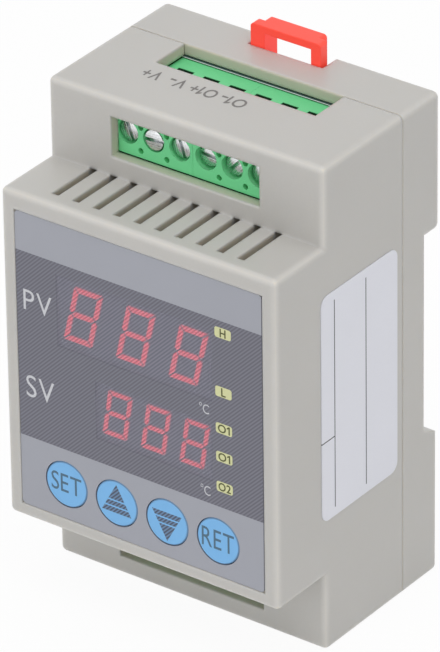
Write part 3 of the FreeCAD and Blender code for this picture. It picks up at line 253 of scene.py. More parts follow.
class StageSettings(bpy.types.PropertyGroup):
    """Camera, lamps, floor and background."""

    azimuth: turn("Azimuth", "Camera's turn round the object", 36.6175)
    elevation: turn("Elevation", "Camera's height above the horizon", 29.9738)
    roll: turn("Roll", "Camera's turn about its own axis", -0.7922)
    distance: length("Distance", "Camera's distance from its aim", 1194.624)
    lens: FloatProperty(name="Lens", description="Focal length", unit="CAMERA", default=412.505)
    aim: FloatVectorProperty(
        name="Aim", description="Point that the camera looks at", subtype="TRANSLATION",
        size=3, precision=6, default=(-2.8483 * MM, -14.4904 * MM, -1.0626 * MM))
    ambient: share("Ambient", "Light from all round", 0.57)
    top_light: share("Top light", "Share of light from the lamp above", 0.4)
    front_light: share("Front light", "Share of light from the low lamp in front", 0.24)
    side_light: share("Side light", "Share of light from the right lamp", 0.07)
    floor: tint("Floor", "Pale floor", "#F4F4F4")
    shadow: share("Shadow", "How much of the floor's shadow the camera sees", 0.06)


class ControllerSettings(bpy.types.PropertyGroup):
    """All settings of the controller."""

    case: PointerProperty(type=CaseSettings, name="Case", description="Cover and base")
    catch: PointerProperty(type=CatchSettings, name="Catch", description="Rail catch")
    film: PointerProperty(type=FilmSettings, name="Film", description="Front film and digits")
    keys: PointerProperty(type=KeySettings, name="Keys", description="Round keys")
    terminals: PointerProperty(type=TerminalSettings, name="Terminals", description="Terminal strips")
    label: PointerProperty(type=LabelSettings, name="Label", description="Side label")
    inside: PointerProperty(type=InsideSettings, name="Inside", description="Parts inside the case")
    stage: PointerProperty(type=StageSettings, name="Stage", description="Camera and light")


class Value:
    """A number that varies over a surface. Arithmetic on it adds Math nodes."""

    def __init__(self, nodes, socket):
        self.nodes = nodes
        self.socket = socket

    def math(self, operation, *operands):
        made = self.nodes.node("ShaderNodeMath", {"operation": operation}, dict(enumerate(operands)))
        return Value(self.nodes, made.outputs[0])

    def __add__(self, other):
        return self.math("ADD", self, other)

    def __radd__(self, other):
        return self.math("ADD", other, self)

    def __sub__(self, other):
        return self.math("SUBTRACT", self, other)

    def __rsub__(self, other):
        return self.math("SUBTRACT", other, self)

    def __mul__(self, other):
        return self.math("MULTIPLY", self, other)

    def __rmul__(self, other):
        return self.math("MULTIPLY", other, self)

    def __truediv__(self, other):
        return self.math("DIVIDE", self, other)

    def __rtruediv__(self, other):
        return self.math("DIVIDE", other, self)

    def __mod__(self, other):
        return self.math("FLOORED_MODULO", self, other)

    def __gt__(self, other):
        return self.math("GREATER_THAN", self, other)

    def __lt__(self, other):
        return self.math("LESS_THAN", self, other)

    def __abs__(self):
        return self.math("ABSOLUTE", self)

    def sine(self):
        return self.math("SINE", self)

    def root(self):
        return self.math("SQRT", self)

    def larger(self, other):
        return self.math("MAXIMUM", self, other)

    def smaller(self, other):
        return self.math("MINIMUM", self, other)

    def sway(self, amount):
        """Turns a value round a half into one round nothing, that much from end to end."""
        return (self - HALF) * amount

    def ramp(self, low, high):
        """Rises smoothly from 0 at low to 1 at high."""
        made = self.nodes.node(
            "ShaderNodeMapRange", {"interpolation_type": "SMOOTHSTEP"},
            {"Value": self, "From Min": low, "From Max": high})
        return Value(self.nodes, made.outputs[0])

    def within(self, low, high):
        """1 between low and high, and 0 elsewhere."""
        return (self > low) * (self < high)


class Nodes:
    """A node tree that pieces of shading are added to."""

    def __init__(self, tree):
        self.tree = tree

    def feed(self, socket, value):
        """Links a value to a socket, or sets the socket to it."""
        if isinstance(value, Value):
            value = value.socket
        if isinstance(value, bpy.types.NodeSocket):
            self.tree.links.new(value, socket)
        elif socket.type == "RGBA":
            socket.default_value = (*value, 1.0)
        else:
            socket.default_value = value

    def node(self, kind, settings, sockets):
        """A node of that kind, with its settings and then its sockets set."""
        made = self.tree.nodes.new(kind)
        for name, value in settings.items():
            setattr(made, name, value)
        for name, value in sockets.items():
            self.feed(made.inputs[name], value)
        return made

    def seen_directly(self):
        """1 for rays from the camera, and for those in a reflection or through glass."""
        path = self.node("ShaderNodeLightPath", {}, {})
        camera, glossy, through = (
            Value(self, path.outputs[name])
            for name in ("Is Camera Ray", "Is Glossy Ray", "Is Transmission Ray"))
        return camera.larger(glossy).larger(through)


class Finish(Nodes):
    """A material round one Principled shader, placed by the model's own millimetres."""

    def __init__(self, name, sockets):
        self.material = bpy.data.materials.new(name)
        self.material.use_nodes = True
        super().__init__(self.material.node_tree)
        self.shader = self.tree.nodes["Principled BSDF"]
        self.set(sockets)
        spot = self.node("ShaderNodeTexCoord", {}, {}).outputs["Object"]
        self.spot = self.node(
            "ShaderNodeVectorMath", {"operation": "SCALE"}, {"Vector": spot, "Scale": 1 / MM}).outputs[0]
        split = self.node("ShaderNodeSeparateXYZ", {}, {"Vector": self.spot})
        self.x, self.y, self.z = (Value(self, axis) for axis in split.outputs)

    def set(self, sockets):
        for name, value in sockets.items():
            self.feed(self.shader.inputs[name], value)

    def noise(self, scale, stretch=(1, 1, 1), detail=2.0):
        """Cloudy value round a half, with about that many clouds in a millimetre."""
        spread = self.node("ShaderNodeVectorMath", {"operation": "MULTIPLY"}, {0: self.spot, 1: stretch})
        made = self.node(
            "ShaderNodeTexNoise", {}, {"Vector": spread.outputs[0], "Scale": scale, "Detail": detail})
        return Value(self, made.outputs[0])

    def mix(self, amount, first, second):
        """Colour that goes from the first to the second."""
        made = self.node("ShaderNodeMix", {"data_type": "RGBA"}, {0: amount, 6: first, 7: second})
        return made.outputs[2]

    def shade(self, colour, amount):
        """Colour made lighter or darker by that amount."""
        return self.node(
            "ShaderNodeVectorMath", {"operation": "SCALE"}, {0: colour, "Scale": amount}).outputs[0]

    def surface(self, height, depth, soft_edge=0.0):
        """Bump from a height, over edges rounded for the light. 0 on square faces, more on edges."""
        rounded = self.node("ShaderNodeBevel", {"samples": 8}, {"Radius": soft_edge * MM}).outputs[0]
        bump = self.node(
            "ShaderNodeBump", {}, {"Height": height, "Distance": depth * MM, "Normal": rounded})
        self.set({"Normal": bump.outputs[0]})
        split = self.node("ShaderNodeSeparateXYZ", {}, {"Vector": rounded})
        x, y, z = (abs(Value(self, axis)) for axis in split.outputs)
        return 1 - x.larger(y).larger(z)


def moulded(name, colour, roughness, grain=2.5, soft_edge=0.2, light_and_shade_places=None):
    """Moulded plastic: slightly cloudy, with fine grain, painted highlights along the edges, and painted
    light and shade where the caller asks.
    """
    finish = Finish(name, {"IOR": PLASTIC_IOR})
    cloud = finish.noise(0.05, detail=3.0)
    fine = finish.noise(grain)
    edge = finish.surface(fine, 0.006, soft_edge)
    # Painted highlight: edges are made paler by edge.root() * 0.3, on top of the cloudy tone and the
    # grain.
    light = 1 + cloud.sway(0.08) + fine.sway(0.05) + edge.root() * 0.3
    if light_and_shade_places:
        colour = light_and_shade_places(finish, colour)
    finish.set({
        "Base Color": finish.shade(colour, light),
        "Roughness": roughness + cloud.sway(0.1) + fine.sway(0.16)})
    return finish


def plated(name, colour, roughness):
    """Plated strip with the fine marks of rolling along its length."""
    finish = Finish(name, {"Metallic": 1.0})
    dull = finish.noise(0.35)
    line = finish.noise(6.0, (1.0, 0.12, 0.12))
    finish.surface(line, 0.004, 0.08)
    finish.set({
        "Base Color": finish.shade(colour, 1 + dull.sway(0.2) + line.sway(0.1)),
        "Roughness": roughness + dull.sway(0.15) + line.sway(0.1)})
    return finish


def stripes(finish, pitch):
    """Slanting stripes that rise from 0 to 1 and fall again in one pitch."""
    across = (finish.x - finish.z) * (FULL_TURN / math.sqrt(2) / (pitch / MM))
    return across.sine().ramp(-0.6, 0.6)


def dress(finish, *names):
    """Gives CAD nodes a finish."""
    for name in names:
        for slot in NODES[name].material_slots:
            slot.material = finish.material


class Face:
    """A flat face that printing lies on."""

    def __init__(self, right, up):
        self.right = Vector(right)
        self.up = Vector(up)
        self.out = self.right.cross(self.up)

    def matrix(self, centre):
        turned = Matrix((self.right, self.up, self.out)).transposed().to_4x4()
        return Matrix.Translation(Vector(centre)) @ turned


FRONT = Face((1, 0, 0), (0, 0, 1))
TOP_TURNED = Face((-1, 0, 0), (0, -1, 0))


def add_piece(name, mesh, finish, body):
    """A new piece that is already in its place, and moves with a body."""
    mesh.materials.clear()
    mesh.materials.append(finish.material)
    piece = bpy.data.objects.new(name, mesh)
    bpy.context.scene.collection.objects.link(piece)
    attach(piece, body)
    return piece


def letter_curve(character):
    """Outline of one letter, in the built-in font's own units."""
    if character not in OWN_LETTERS:
        curve = bpy.data.curves.new("letter", "FONT")
        curve.body = character
        return curve
    curve = bpy.data.curves.new("letter", "CURVE")
    curve.dimensions = "2D"
    curve.fill_mode = "BOTH"
    points = OWN_LETTERS[character]
    spline = curve.splines.new("POLY")
    spline.points.add(len(points) - 1)
    for point, place in zip(spline.points, points):
        point.co = (*place, 0, 1)
    spline.use_cyclic_u = True
    return curve


def letter_mesh(character, thinner):
    """Mesh of one letter, thinner or bolder than its outline."""
    curve = letter_curve(character)
    curve.extrude = 0.01
    curve.offset = -thinner
    curve.resolution_u = 4
    holder = bpy.data.objects.new("letter", curve)
    bpy.context.scene.collection.objects.link(holder)
    bpy.context.view_layer.update()
    mesh = bpy.data.meshes.new_from_object(holder.evaluated_get(bpy.context.evaluated_depsgraph_get()))
    bpy.data.objects.remove(holder)
    bpy.data.curves.remove(curve)
    return mesh


def reach(mesh):
    """Lowest and highest corner of a mesh."""
    return (Vector(map(pick, zip(*(v.co for v in mesh.vertices)))) for pick in (min, max))


def lettering(name, text, size, face, centre, thinner=0.0):
    """Mesh of some letters, as wide and high as size, lying on a face."""
    work = bmesh.new()
    cursor = 0.0
    for character in text:
        letter = letter_mesh(character, thinner)
        low, high = reach(letter)
        letter.transform(Matrix.Translation((cursor - low.x, 0, 0)))
        cursor += high.x - low.x + LETTER_SPACE
        work.from_mesh(letter)
        bpy.data.meshes.remove(letter)
    mesh = bpy.data.meshes.new(name)
    work.to_mesh(mesh)
    work.free()
    low, high = reach(mesh)
    wanted = Vector((*size, PRINT_THICKNESS))
    middle = (low + high) / 2
    middle.z = low.z
    fit = Matrix.Diagonal([w / (h - l) for w, h, l in zip(wanted, high, low)]).to_4x4()
    mesh.transform(face.matrix(centre) @ fit @ Matrix.Translation(-middle))
    return mesh


def printed(name, outlines, face, centre):
    """Mesh of flat printed shapes, from their outlines in the face's own metres."""
    work = bmesh.new()
    for outline in outlines:
        low = [work.verts.new((*point, 0)) for point in outline]
        high = [work.verts.new((*point, PRINT_THICKNESS)) for point in outline]
        work.faces.new(high)
        work.faces.new(low[::-1])
        for here in range(len(outline)):
            after = (here + 1) % len(outline)
            work.faces.new((low[here], low[after], high[after], high[here]))
    mesh = bpy.data.meshes.new(name)
    work.to_mesh(mesh)
    work.free()
    mesh.transform(face.matrix(centre))
    return mesh


def rounded_outline(width, height, radius, steps=5):
    """Rectangle with rounded corners, anticlockwise."""
    points = []
    for corner, (side, end) in enumerate(((1, -1), (1, 1), (-1, 1), (-1, -1))):
        for step in range(steps + 1):
            angle = (corner - 1 + step / steps) * math.pi / 2
            points.append((
                side * (width / 2 - radius) + radius * math.cos(angle),
                end * (height / 2 - radius) + radius * math.sin(angle)))
    return points


def ink(name, colour, stripe_colour=None, pitch=None):
    """Screen printed ink, thin and a little uneven, plain or in two colours of stripes."""
    finish = Finish(name, {"IOR": INK_IOR})
    cover = finish.noise(3.0, detail=4.0)
    finish.surface(cover, 0.003)
    if pitch:
        colour = finish.mix(stripes(finish, pitch), colour, stripe_colour)
    finish.set({
        "Base Color": finish.shade(colour, 0.93 + cover * 0.14),
        "Roughness": 0.45 + cover.sway(0.2)})
    return finish


class CONTROLLER_OT_case(bpy.types.Operator):
    """Finish the cover and base, and print the terminal names on top"""

    bl_idname = "controller.case"
    bl_label = "Case"

    def execute(self, context):
        wanted = context.scene.controller.case
        self.dress_case(wanted)
        grey = ink("case_ink", wanted.ink)
        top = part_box("front_cover")[1].z
        for count, (text, place, width) in enumerate(TERMINAL_NAMES, 1):
            mesh = lettering(
                f"terminal_name_{count}", text, (width * MM, wanted.ink_height), TOP_TURNED,
                (place * MM, wanted.ink_y, top), thinner=-0.012)
            add_piece(mesh.name, mesh, grey, "case")
        return {"FINISHED"}

    def dress_case(self, wanted):
        """Plastic with painted light: paler and warmer on the walls of the openings and on the base's
        front rim in the seam.
        """
        low, high = (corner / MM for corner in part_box("front_cover"))
        faces = (
            ("x", low.x), ("x", high.x), ("y", low.y), ("y", wanted.step / MM), ("z", low.z),
            ("z", high.z), ("z", wanted.upper_shelf / MM), ("z", wanted.lower_shelf / MM))

        # Painted light on the walls of the openings, standing in for light that comes through the thin
        # plastic.
        def walls(finish, colour):
            inward = None
            for axis, place in faces:
                away = abs(getattr(finish, axis) - place)
                inward = away if inward is None else inward.smaller(away)
            return finish.mix(inward.ramp(0.2, 0.6), colour, wanted.painted_wall_light)

        # Painted light on the base's front rim, which fills the shade in the seam between cover and
        # base.
        def rim(finish, colour):
            return finish.mix(abs(finish.y - wanted.base_rim / MM) < 0.05, colour, wanted.painted_wall_light)

        for node, light_and_shade_places in (("front_cover", walls), ("rear_base", rim)):
            finish = moulded(f"{node}_plastic", wanted.plastic, wanted.roughness,
                             soft_edge=wanted.soft_edge / MM, light_and_shade_places=light_and_shade_places)
            finish.set({"Subsurface Weight": 0.3, "Subsurface Scale": 1.5 * MM,
                        "Subsurface Radius": (1.0, 0.85, 0.65)})
            dress(finish, node)


class CONTROLLER_OT_catch(bpy.types.Operator):
    """Finish the rail catch"""

    bl_idname = "controller.catch"
    bl_label = "Rail catch"

    def execute(self, context):
        wanted = context.scene.controller.catch
        finish = moulded("catch_plastic", wanted.plastic, wanted.roughness, soft_edge=0.25)
        # Painted glow: emission in the catch's own red, so it stays bright in shade.
        finish.set({"Emission Color": wanted.plastic, "Emission Strength": wanted.glow})
        dress(finish, "rail_clip")
        return {"FINISHED"}


class CONTROLLER_OT_film(bpy.types.Operator):
    """Finish the front film, and print its letters"""

    bl_idname = "controller.film"
    bl_label = "Front film"

    def execute(self, context):
        wanted = context.scene.controller.film
        self.dress_film(wanted)
        pale = ink("film_letter", wanted.letter)
        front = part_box("front_film")[0].y
        for name, text, (x, z), size in FILM_WORDS:
            mesh = lettering(
                name, text, [side * MM for side in size], FRONT, (x * MM, front, z * MM), thinner=0.005)
            add_piece(name, mesh, pale, "case")
        return {"FINISHED"}

    def dress_film(self, wanted):
        """Plain bands, a hatched band, and two windows that the digits are seen through."""
        finish = Finish("film_print", {"IOR": FILM_IOR})
        stripe = stripes(finish, wanted.pitch)
        band = finish.z.within(wanted.band_low / MM, wanted.band_high / MM)
        windows = None
        for name in ("pv_display", "sv_display"):
            low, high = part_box(name)
            window = finish.x.within(low.x / MM, high.x / MM) * finish.z.within(low.z / MM, high.z / MM)
            windows = window if windows is None else windows.larger(window)
        seen = 1 - (wanted.cover_light + (1 - stripe) * (wanted.cover_dark - wanted.cover_light))
        alpha = 1 - windows * seen
        cloud = finish.noise(0.08, detail=3.0)
        fine = finish.noise(5.0)
        hatched = finish.mix(stripe, wanted.stripe_dark, wanted.stripe_light)
        # Painted shadow along the film's right edge, standing in for the shade of the gap beside it.
        rim = finish.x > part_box("front_film")[1].x / MM - 0.16
        print_colour = finish.mix(rim * 0.8, finish.mix(band, wanted.plain, hatched), wanted.rim)
        finish.surface(fine + stripe * band * 0.4, 0.004, 0.1)
        finish.set({
            "Base Color": finish.shade(print_colour, (0.97 + cloud * 0.06) / alpha),
            "Roughness": 0.34 + cloud.sway(0.1) + fine.sway(0.1),
            "Alpha": alpha})
        dress(finish, "front_film")


class CONTROLLER_OT_displays(bpy.types.Operator):
    """Finish the two displays and light their digits"""

    bl_idname = "controller.displays"
    bl_label = "Displays"

    def execute(self, context):
        wanted = context.scene.controller.film
        dress(moulded("display_resin", wanted.resin, 0.5, grain=4.0), "pv_display", "sv_display")
        lit = Finish("digit_light", {"Roughness": 0.4, "Emission Strength": wanted.lit_strength})
        glow = lit.noise(1.2, detail=3.0)
        lit.surface(glow, 0.004, 0.05)
        face = lit.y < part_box("pv_segments")[0].y / MM + 0.02
        colour = lit.mix(0.35 + face * 0.65, wanted.resin, wanted.lit)
        colour = lit.shade(colour, 0.85 + glow * 0.3)
        lit.set({"Base Color": colour, "Emission Color": colour})
        dress(lit, "pv_segments", "sv_segments")
        return {"FINISHED"}


class CONTROLLER_OT_tags(bpy.types.Operator):
    """Print the signal tags on the film, and finish the lamps behind them"""

    bl_idname = "controller.tags"
    bl_label = "Signal tags"

    def execute(self, context):
        wanted = context.scene.controller.film
        yellow = ink("tag_print", wanted.tag)
        dark = ink("tag_ink", wanted.tag_ink)
        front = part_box("front_film")[0].y
        outline = rounded_outline(TAG_WIDTH, TAG_HEIGHT, TAG_CORNER)
        for name, text, height, width in TAGS:
            place = Vector((TAG_MIDDLE, front, height * MM))
            plate = printed(f"tag_{name}", [outline], FRONT, place)
            add_piece(f"tag_{name}", plate, yellow, "case")
            letters = lettering(
                f"tag_letter_{name}", text, (width * MM, TAG_LETTER_HEIGHT), FRONT,
                place + FRONT.out * PRINT_THICKNESS, thinner=-0.015)
            add_piece(letters.name, letters, dark, "case")
        lamps = moulded("lamp_resin", context.scene.controller.inside.lamp, 0.3, grain=5.0)
        dress(lamps, "indicator_leds")
        return {"FINISHED"}


class CONTROLLER_OT_keys(bpy.types.Operator):
    """Finish the round keys with their print, plungers and switches"""

    bl_idname = "controller.keys"
    bl_label = "Keys"

    def execute(self, context):
        scene = context.scene.controller
        self.dress_keys(scene.keys)
        print_ink = ink("key_ink", scene.keys.ink)
        hatched_ink = ink("key_arrow_ink", scene.keys.arrow, scene.keys.arrow_stripe, scene.film.pitch)
        for name in KEYS:
            low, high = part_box(f"key_{name}")
            centre = ((low.x + high.x) / 2, low.y, scene.keys.height)
            mesh = self.legend(name, centre)
            legend_ink = print_ink if name in KEY_WORDS else hatched_ink
            add_piece(mesh.name, mesh, legend_ink, f"{name}_key")
            plunger = moulded(f"plunger_plastic_{name}", scene.keys.plunger, 0.45, grain=4.0)
            dress(plunger, f"plunger_{name}")
        dress(moulded("switch_body", scene.inside.black, 0.5, grain=4.0), "key_switches")
        return {"FINISHED"}

    def dress_keys(self, wanted):
        finish = Finish("key_print", {"IOR": FILM_IOR})
        pitch = wanted.pitch / MM
        sideways = ((finish.x / pitch) % 1.0).sway(pitch)
        upward = finish.z - wanted.height / MM
        ring = (sideways * sideways + upward * upward).root() > wanted.ring_radius / MM
        cloud = finish.noise(0.25, detail=3.0)
        fine = finish.noise(5.0)
        edge = finish.surface(fine, 0.004, 0.15)
        # Painted highlight: key edges are made paler by the edge measure.
        light = 0.95 + cloud * 0.1 + edge * 0.2
        finish.set({
            "Base Color": finish.shade(finish.mix(ring, wanted.face, wanted.ring), light),
            "Roughness": 0.36 + fine.sway(0.14)})
        dress(finish, *(f"key_{name}" for name in KEYS))

    def legend(self, name, centre):
        """Word or arrow on a key."""
        if name in KEY_WORDS:
            text, width, height = KEY_WORDS[name]
            place = Vector(centre) + FRONT.up * KEY_WORD_RISE
            return lettering(f"legend_{name}", text, (width * MM, height * MM), FRONT, place)
        way = 1 if name == "up" else -1
        outlines = []
        for band in ARROW_BANDS:
            (near, foot_shade), (far, head) = (
                (ARROW_HALF * (1 - part), way * (ARROW_HEIGHT * part - ARROW_BASE)) for part in band)
            points = [(-near, foot_shade), (near, foot_shade)]
            points += [(far, head), (-far, head)] if far else [(far, head)]
            outlines.append(points[::way])
        return printed(f"legend_{name}", outlines, FRONT, centre)


class CONTROLLER_OT_terminals(bpy.types.Operator):
    """Finish the terminal strips, screws, cages and contacts"""

    bl_idname = "controller.terminals"
    bl_label = "Terminals"

    def execute(self, context):
        wanted = context.scene.controller.terminals
        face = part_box("terminal_bottom_left")[0].y / MM

        # Painted shade: black inside the wire entries, and on the lower housings' foot that lies in
        # shade under the front.
        def hollow_shade(finish, colour):
            inward = wanted.wire_reach / MM - abs(finish.z - wanted.middle / MM)
            entry_shade = (inward > 0.1) * finish.y.within(wanted.entry_front / MM, wanted.entry_back / MM)
            foot_shade = (finish.z < wanted.dark_below / MM) * (finish.y < face + 0.3)
            return finish.mix(entry_shade.larger(foot_shade) * 0.9, colour, (0.0, 0.0, 0.0))

        green = moulded(
            "terminal_plastic", wanted.plastic, 0.34, grain=3.5, soft_edge=0.12, light_and_shade_places=hollow_shade)
        dress(green, *(f"terminal_{end}_{side}" for end in ENDS for side in ("left", "right")))
        self.dress_screws(wanted)
        dress(plated("cage_plate", wanted.cage, 0.34),
              *(f"cage_{end}_{way}" for end in ENDS for way in WAYS))
        dress(plated("contact_tin", wanted.contact, 0.36), "terminal_contacts", "header_pins")
        return {"FINISHED"}

    def dress_screws(self, wanted):
        """Zinc plate over slightly domed heads, brushed along the slot of each screw."""
        for end, angles in SLOT_ANGLES.items():
            for way, angle in zip(WAYS, angles):
                node = f"screw_{end}_{way}"
                low, high = (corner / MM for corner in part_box(node))
                finish = Finish(f"zinc_{node}", {"Metallic": 1.0})
                sideways = finish.x - (low.x + high.x) / 2
                upward = finish.z - (low.z + high.z) / 2
                lean = math.radians(angle)
                across = sideways * math.sin(lean) - upward * math.cos(lean)
                brushed = (across * (FULL_TURN / 0.45)).sine() * 0.5 + 0.5
                dome = 1 - (sideways * sideways + upward * upward) / 3.1
                dull = finish.noise(0.5)
                finish.surface(dome + brushed * 0.012, 0.25, 0.05)
                finish.set({
                    "Base Color": finish.shade(
                        wanted.zinc, 0.92 + brushed.sway(0.16) + dull.sway(0.1)),
                    "Roughness": 0.26 + brushed.sway(0.1) + dull.sway(0.1)})
                dress(finish, node)


class CONTROLLER_OT_label(bpy.types.Operator):
    """Finish the bare side label with its rules"""

    bl_idname = "controller.label"
    bl_label = "Side label"

    def execute(self, context):
        wanted = context.scene.controller.label
        finish = Finish("label_paper", {"IOR": INK_IOR})
        low, high = (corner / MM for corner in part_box("side_label"))
        margin, half = wanted.margin / MM, wanted.rule_width / MM / 2
        first = wanted.first_rule / MM
        inner = finish.z.within(low.z + margin, high.z - margin)
        rules = (abs(finish.y - first) < half) + (abs(finish.y - wanted.second_rule / MM) < half)
        cross = (abs(finish.z - wanted.cross_rule / MM) < half) * (finish.y < first)
        fibre = finish.noise(2.2, (1.0, 0.5, 1.6), 5.0)
        cloud = finish.noise(0.07, detail=3.0)
        finish.surface(fibre, 0.005, 0.06)
        colour = finish.mix((rules * inner).larger(cross), wanted.paper, wanted.rule)
        finish.set({
            "Base Color": finish.shade(colour, 0.96 + fibre * 0.04 + cloud * 0.04),
            "Roughness": 0.42 + fibre.sway(0.16)})
        dress(finish, "side_label")
        return {"FINISHED"}


class CONTROLLER_OT_inside(bpy.types.Operator):
    """Finish the boards and the parts on them"""

    bl_idname = "controller.inside"
    bl_label = "Inside"

    def execute(self, context):
        wanted = context.scene.controller.inside
        self.dress_boards(wanted)
        dress(moulded("relay_case", wanted.relay, 0.35), "relay")
        dress(moulded("connector_nylon", wanted.black, 0.45), "header_strip", "header_socket")
        dress(moulded("ferrite_core", wanted.ferrite, 0.7, grain=1.5), "transformer_core")
        dress(plated("plain_screw", wanted.screw, 0.35), "board_screws")
        self.dress_coil(wanted)
        self.dress_capacitor(wanted)
        return {"FINISHED"}

    def dress_boards(self, wanted):
        finish = Finish("board_resist", {"IOR": FILM_IOR})
        lanes = ((finish.x + finish.noise(0.12) * 4) * (FULL_TURN / 2.4)).sine().ramp(0.1, 0.3)
        runs = (finish.z * (FULL_TURN / 7.0)).sine().ramp(-0.2, 0.0)
        weave = finish.noise(3.0)
        finish.surface(lanes * runs + weave * 0.3, 0.02, 0.05)
        low, high = (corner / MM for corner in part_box("main_board"))
        cut = abs(finish.z - (low.z + high.z) / 2) > (high.z - low.z) / 2 - 0.02
        # Painted highlight: a pale line along the board's front corner, on its cut edge.
        front = finish.y < low.y + 0.16
        face = finish.mix(lanes * runs, wanted.board, wanted.trace)
        edge = finish.mix(front, wanted.rim, wanted.lip_highlight)
        finish.set({
            "Base Color": finish.shade(finish.mix(cut, face, edge), 0.9 + weave * 0.2),
            "Roughness": 0.38 + weave.sway(0.2)})
        dress(finish, "main_board", "display_board")

    def dress_coil(self, wanted):
        finish = Finish("coil_tape", {"IOR": FILM_IOR})
        turns = (finish.z * (FULL_TURN / 1.1)).sine() * 0.5 + 0.5
        creases = finish.noise(1.5, (0.3, 0.3, 1.5), 4.0)
        finish.surface(turns + creases * 0.5, 0.03, 0.1)
        finish.set({
            "Base Color": finish.shade(wanted.tape, 0.8 + turns * 0.15 + creases * 0.15),
            "Roughness": 0.35 + creases * 0.2})
        dress(finish, "transformer_coil")

    def dress_capacitor(self, wanted):
        low, high = (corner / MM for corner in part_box("capacitor"))
        middle = (low + high) / 2
        finish = Finish("capacitor_sleeve", {"IOR": FILM_IOR})
        stripe = (finish.x - middle.x).ramp(1.5, 1.7)
        crease = finish.noise(0.8, (1.0, 0.2, 1.0), 3.0)
        finish.surface(crease, 0.02, 0.1)
        finish.set({
            "Base Color": finish.shade(
                finish.mix(stripe, wanted.sleeve, wanted.sleeve_stripe), 0.9 + crease * 0.2),
            "Roughness": 0.3 + crease * 0.2})
        dress(finish, "capacitor")


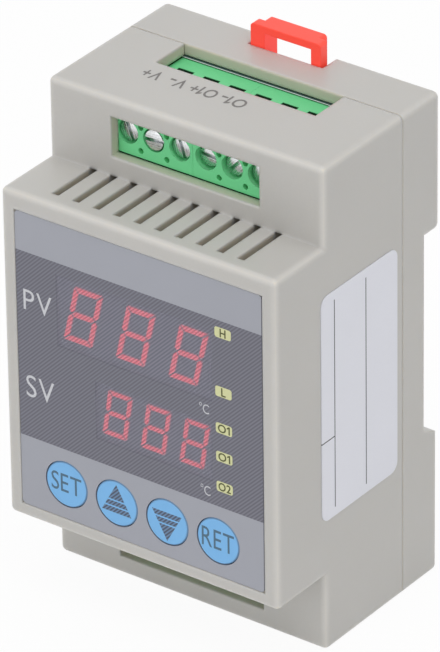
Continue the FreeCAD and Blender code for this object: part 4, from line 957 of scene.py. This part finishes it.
class CONTROLLER_OT_stage(bpy.types.Operator):
    """Set up the floor, the background, the lamps and the camera"""

    bl_idname = "controller.stage"
    bl_label = "Stage"

    def execute(self, context):
        wanted = context.scene.controller.stage
        context.scene.view_settings.view_transform = "Standard"
        self.make_floor(context, wanted)
        self.make_world(context, wanted)
        for name, direction, setting in LAMPS:
            self.make_lamp(context, name, direction, getattr(wanted, setting))
        self.make_camera(context, wanted)
        return {"FINISHED"}

    def make_floor(self, context, wanted):
        work = bmesh.new()
        bmesh.ops.create_grid(work, x_segments=8, y_segments=8, size=FLOOR_REACH)
        mesh = bpy.data.meshes.new("floor")
        work.to_mesh(mesh)
        work.free()
        floor = bpy.data.objects.new("floor", mesh)
        floor.location.z = CAD_BOX[0].z
        context.scene.collection.objects.link(floor)
        finish = Finish("floor_paper", {})
        fibre = finish.noise(0.02, detail=4.0)
        finish.set({"Base Color": finish.shade(wanted.floor, 0.98 + fibre * 0.03), "Roughness": 0.9})
        white = finish.node("ShaderNodeEmission", {}, {"Strength": 1.0})
        clear = finish.node("ShaderNodeBsdfTransparent", {}, {})
        below = Value(finish, finish.node("ShaderNodeNewGeometry", {}, {}).outputs["Backfacing"])
        plain = finish.seen_directly() * (1 - wanted.shadow)
        lit = finish.node(
            "ShaderNodeMixShader", {},
            {0: plain, 1: finish.shader.outputs[0], 2: white.outputs[0]})
        shown = finish.node(
            "ShaderNodeMixShader", {}, {0: below, 1: lit.outputs[0], 2: clear.outputs[0]})
        finish.feed(finish.tree.nodes["Material Output"].inputs["Surface"], shown.outputs[0])
        mesh.materials.append(finish.material)

    def make_world(self, context, wanted):
        world = bpy.data.worlds.new("studio")
        world.use_nodes = True
        context.scene.world = world
        nodes = Nodes(world.node_tree)
        seen = nodes.seen_directly()
        background = world.node_tree.nodes["Background"]
        nodes.feed(background.inputs["Color"], (1.0, 1.0, 1.0))
        nodes.feed(background.inputs["Strength"], wanted.ambient + seen * (1 - wanted.ambient))

    def make_lamp(self, context, name, direction, amount):
        """Square soft lamp that gives that share of a plain level of light."""
        data = bpy.data.lights.new(name, "AREA")
        data.shape = "SQUARE"
        data.size = LAMP_SIDE
        data.energy = amount * (math.pi * LAMP_DISTANCE) ** 2
        lamp = bpy.data.objects.new(name, data)
        toward = Vector(direction).normalized()
        lamp.location = toward * LAMP_DISTANCE
        lamp.rotation_euler = toward.to_track_quat("Z", "Y").to_euler()
        context.scene.collection.objects.link(lamp)

    def make_camera(self, context, wanted):
        data = bpy.data.cameras.new("camera")
        data.sensor_width = SENSOR_WIDTH
        data.lens = wanted.lens
        data.clip_start, data.clip_end = NEAREST, FARTHEST
        camera = bpy.data.objects.new("camera", data)
        level = math.cos(wanted.elevation)
        back = Vector((
            math.sin(wanted.azimuth) * level, -math.cos(wanted.azimuth) * level,
            math.sin(wanted.elevation)))
        right = Vector((0, 0, 1)).cross(back).normalized()
        upright = Matrix((right, back.cross(right), back)).transposed().to_4x4()
        camera.matrix_world = (
            Matrix.Translation(Vector(wanted.aim) + back * wanted.distance)
            @ upright @ Matrix.Rotation(wanted.roll, 4, "Z"))
        context.scene.collection.objects.link(camera)
        context.scene.camera = camera


OPERATORS = (
    CONTROLLER_OT_case, CONTROLLER_OT_catch, CONTROLLER_OT_film, CONTROLLER_OT_displays,
    CONTROLLER_OT_tags, CONTROLLER_OT_keys, CONTROLLER_OT_terminals, CONTROLLER_OT_label,
    CONTROLLER_OT_inside, CONTROLLER_OT_stage)


class CONTROLLER_PT_pieces(bpy.types.Panel):
    """Pieces of the controller, in the order in which they are made"""

    bl_idname = "CONTROLLER_PT_pieces"
    bl_label = "Temperature controller"
    bl_space_type = "VIEW_3D"
    bl_region_type = "UI"
    bl_category = "Controller"

    def draw(self, context):
        for operator in OPERATORS:
            self.layout.operator(operator.bl_idname)


CLASSES = (
    CaseSettings, CatchSettings, FilmSettings, KeySettings, TerminalSettings, LabelSettings,
    InsideSettings, StageSettings, ControllerSettings, *OPERATORS, CONTROLLER_PT_pieces)


def register():
    for one in CLASSES:
        bpy.utils.register_class(one)
    bpy.types.Scene.controller = PointerProperty(
        type=ControllerSettings, name="Controller", description="Settings of the controller")


def unregister():
    del bpy.types.Scene.controller
    for one in reversed(CLASSES):
        bpy.utils.unregister_class(one)


def main():
    register()
    bpy.ops.controller.case()
    bpy.ops.controller.catch()
    bpy.ops.controller.film()
    bpy.ops.controller.displays()
    bpy.ops.controller.tags()
    bpy.ops.controller.keys()
    bpy.ops.controller.terminals()
    bpy.ops.controller.label()
    bpy.ops.controller.inside()
    bpy.ops.controller.stage()


if __name__ == "__main__":
    main()
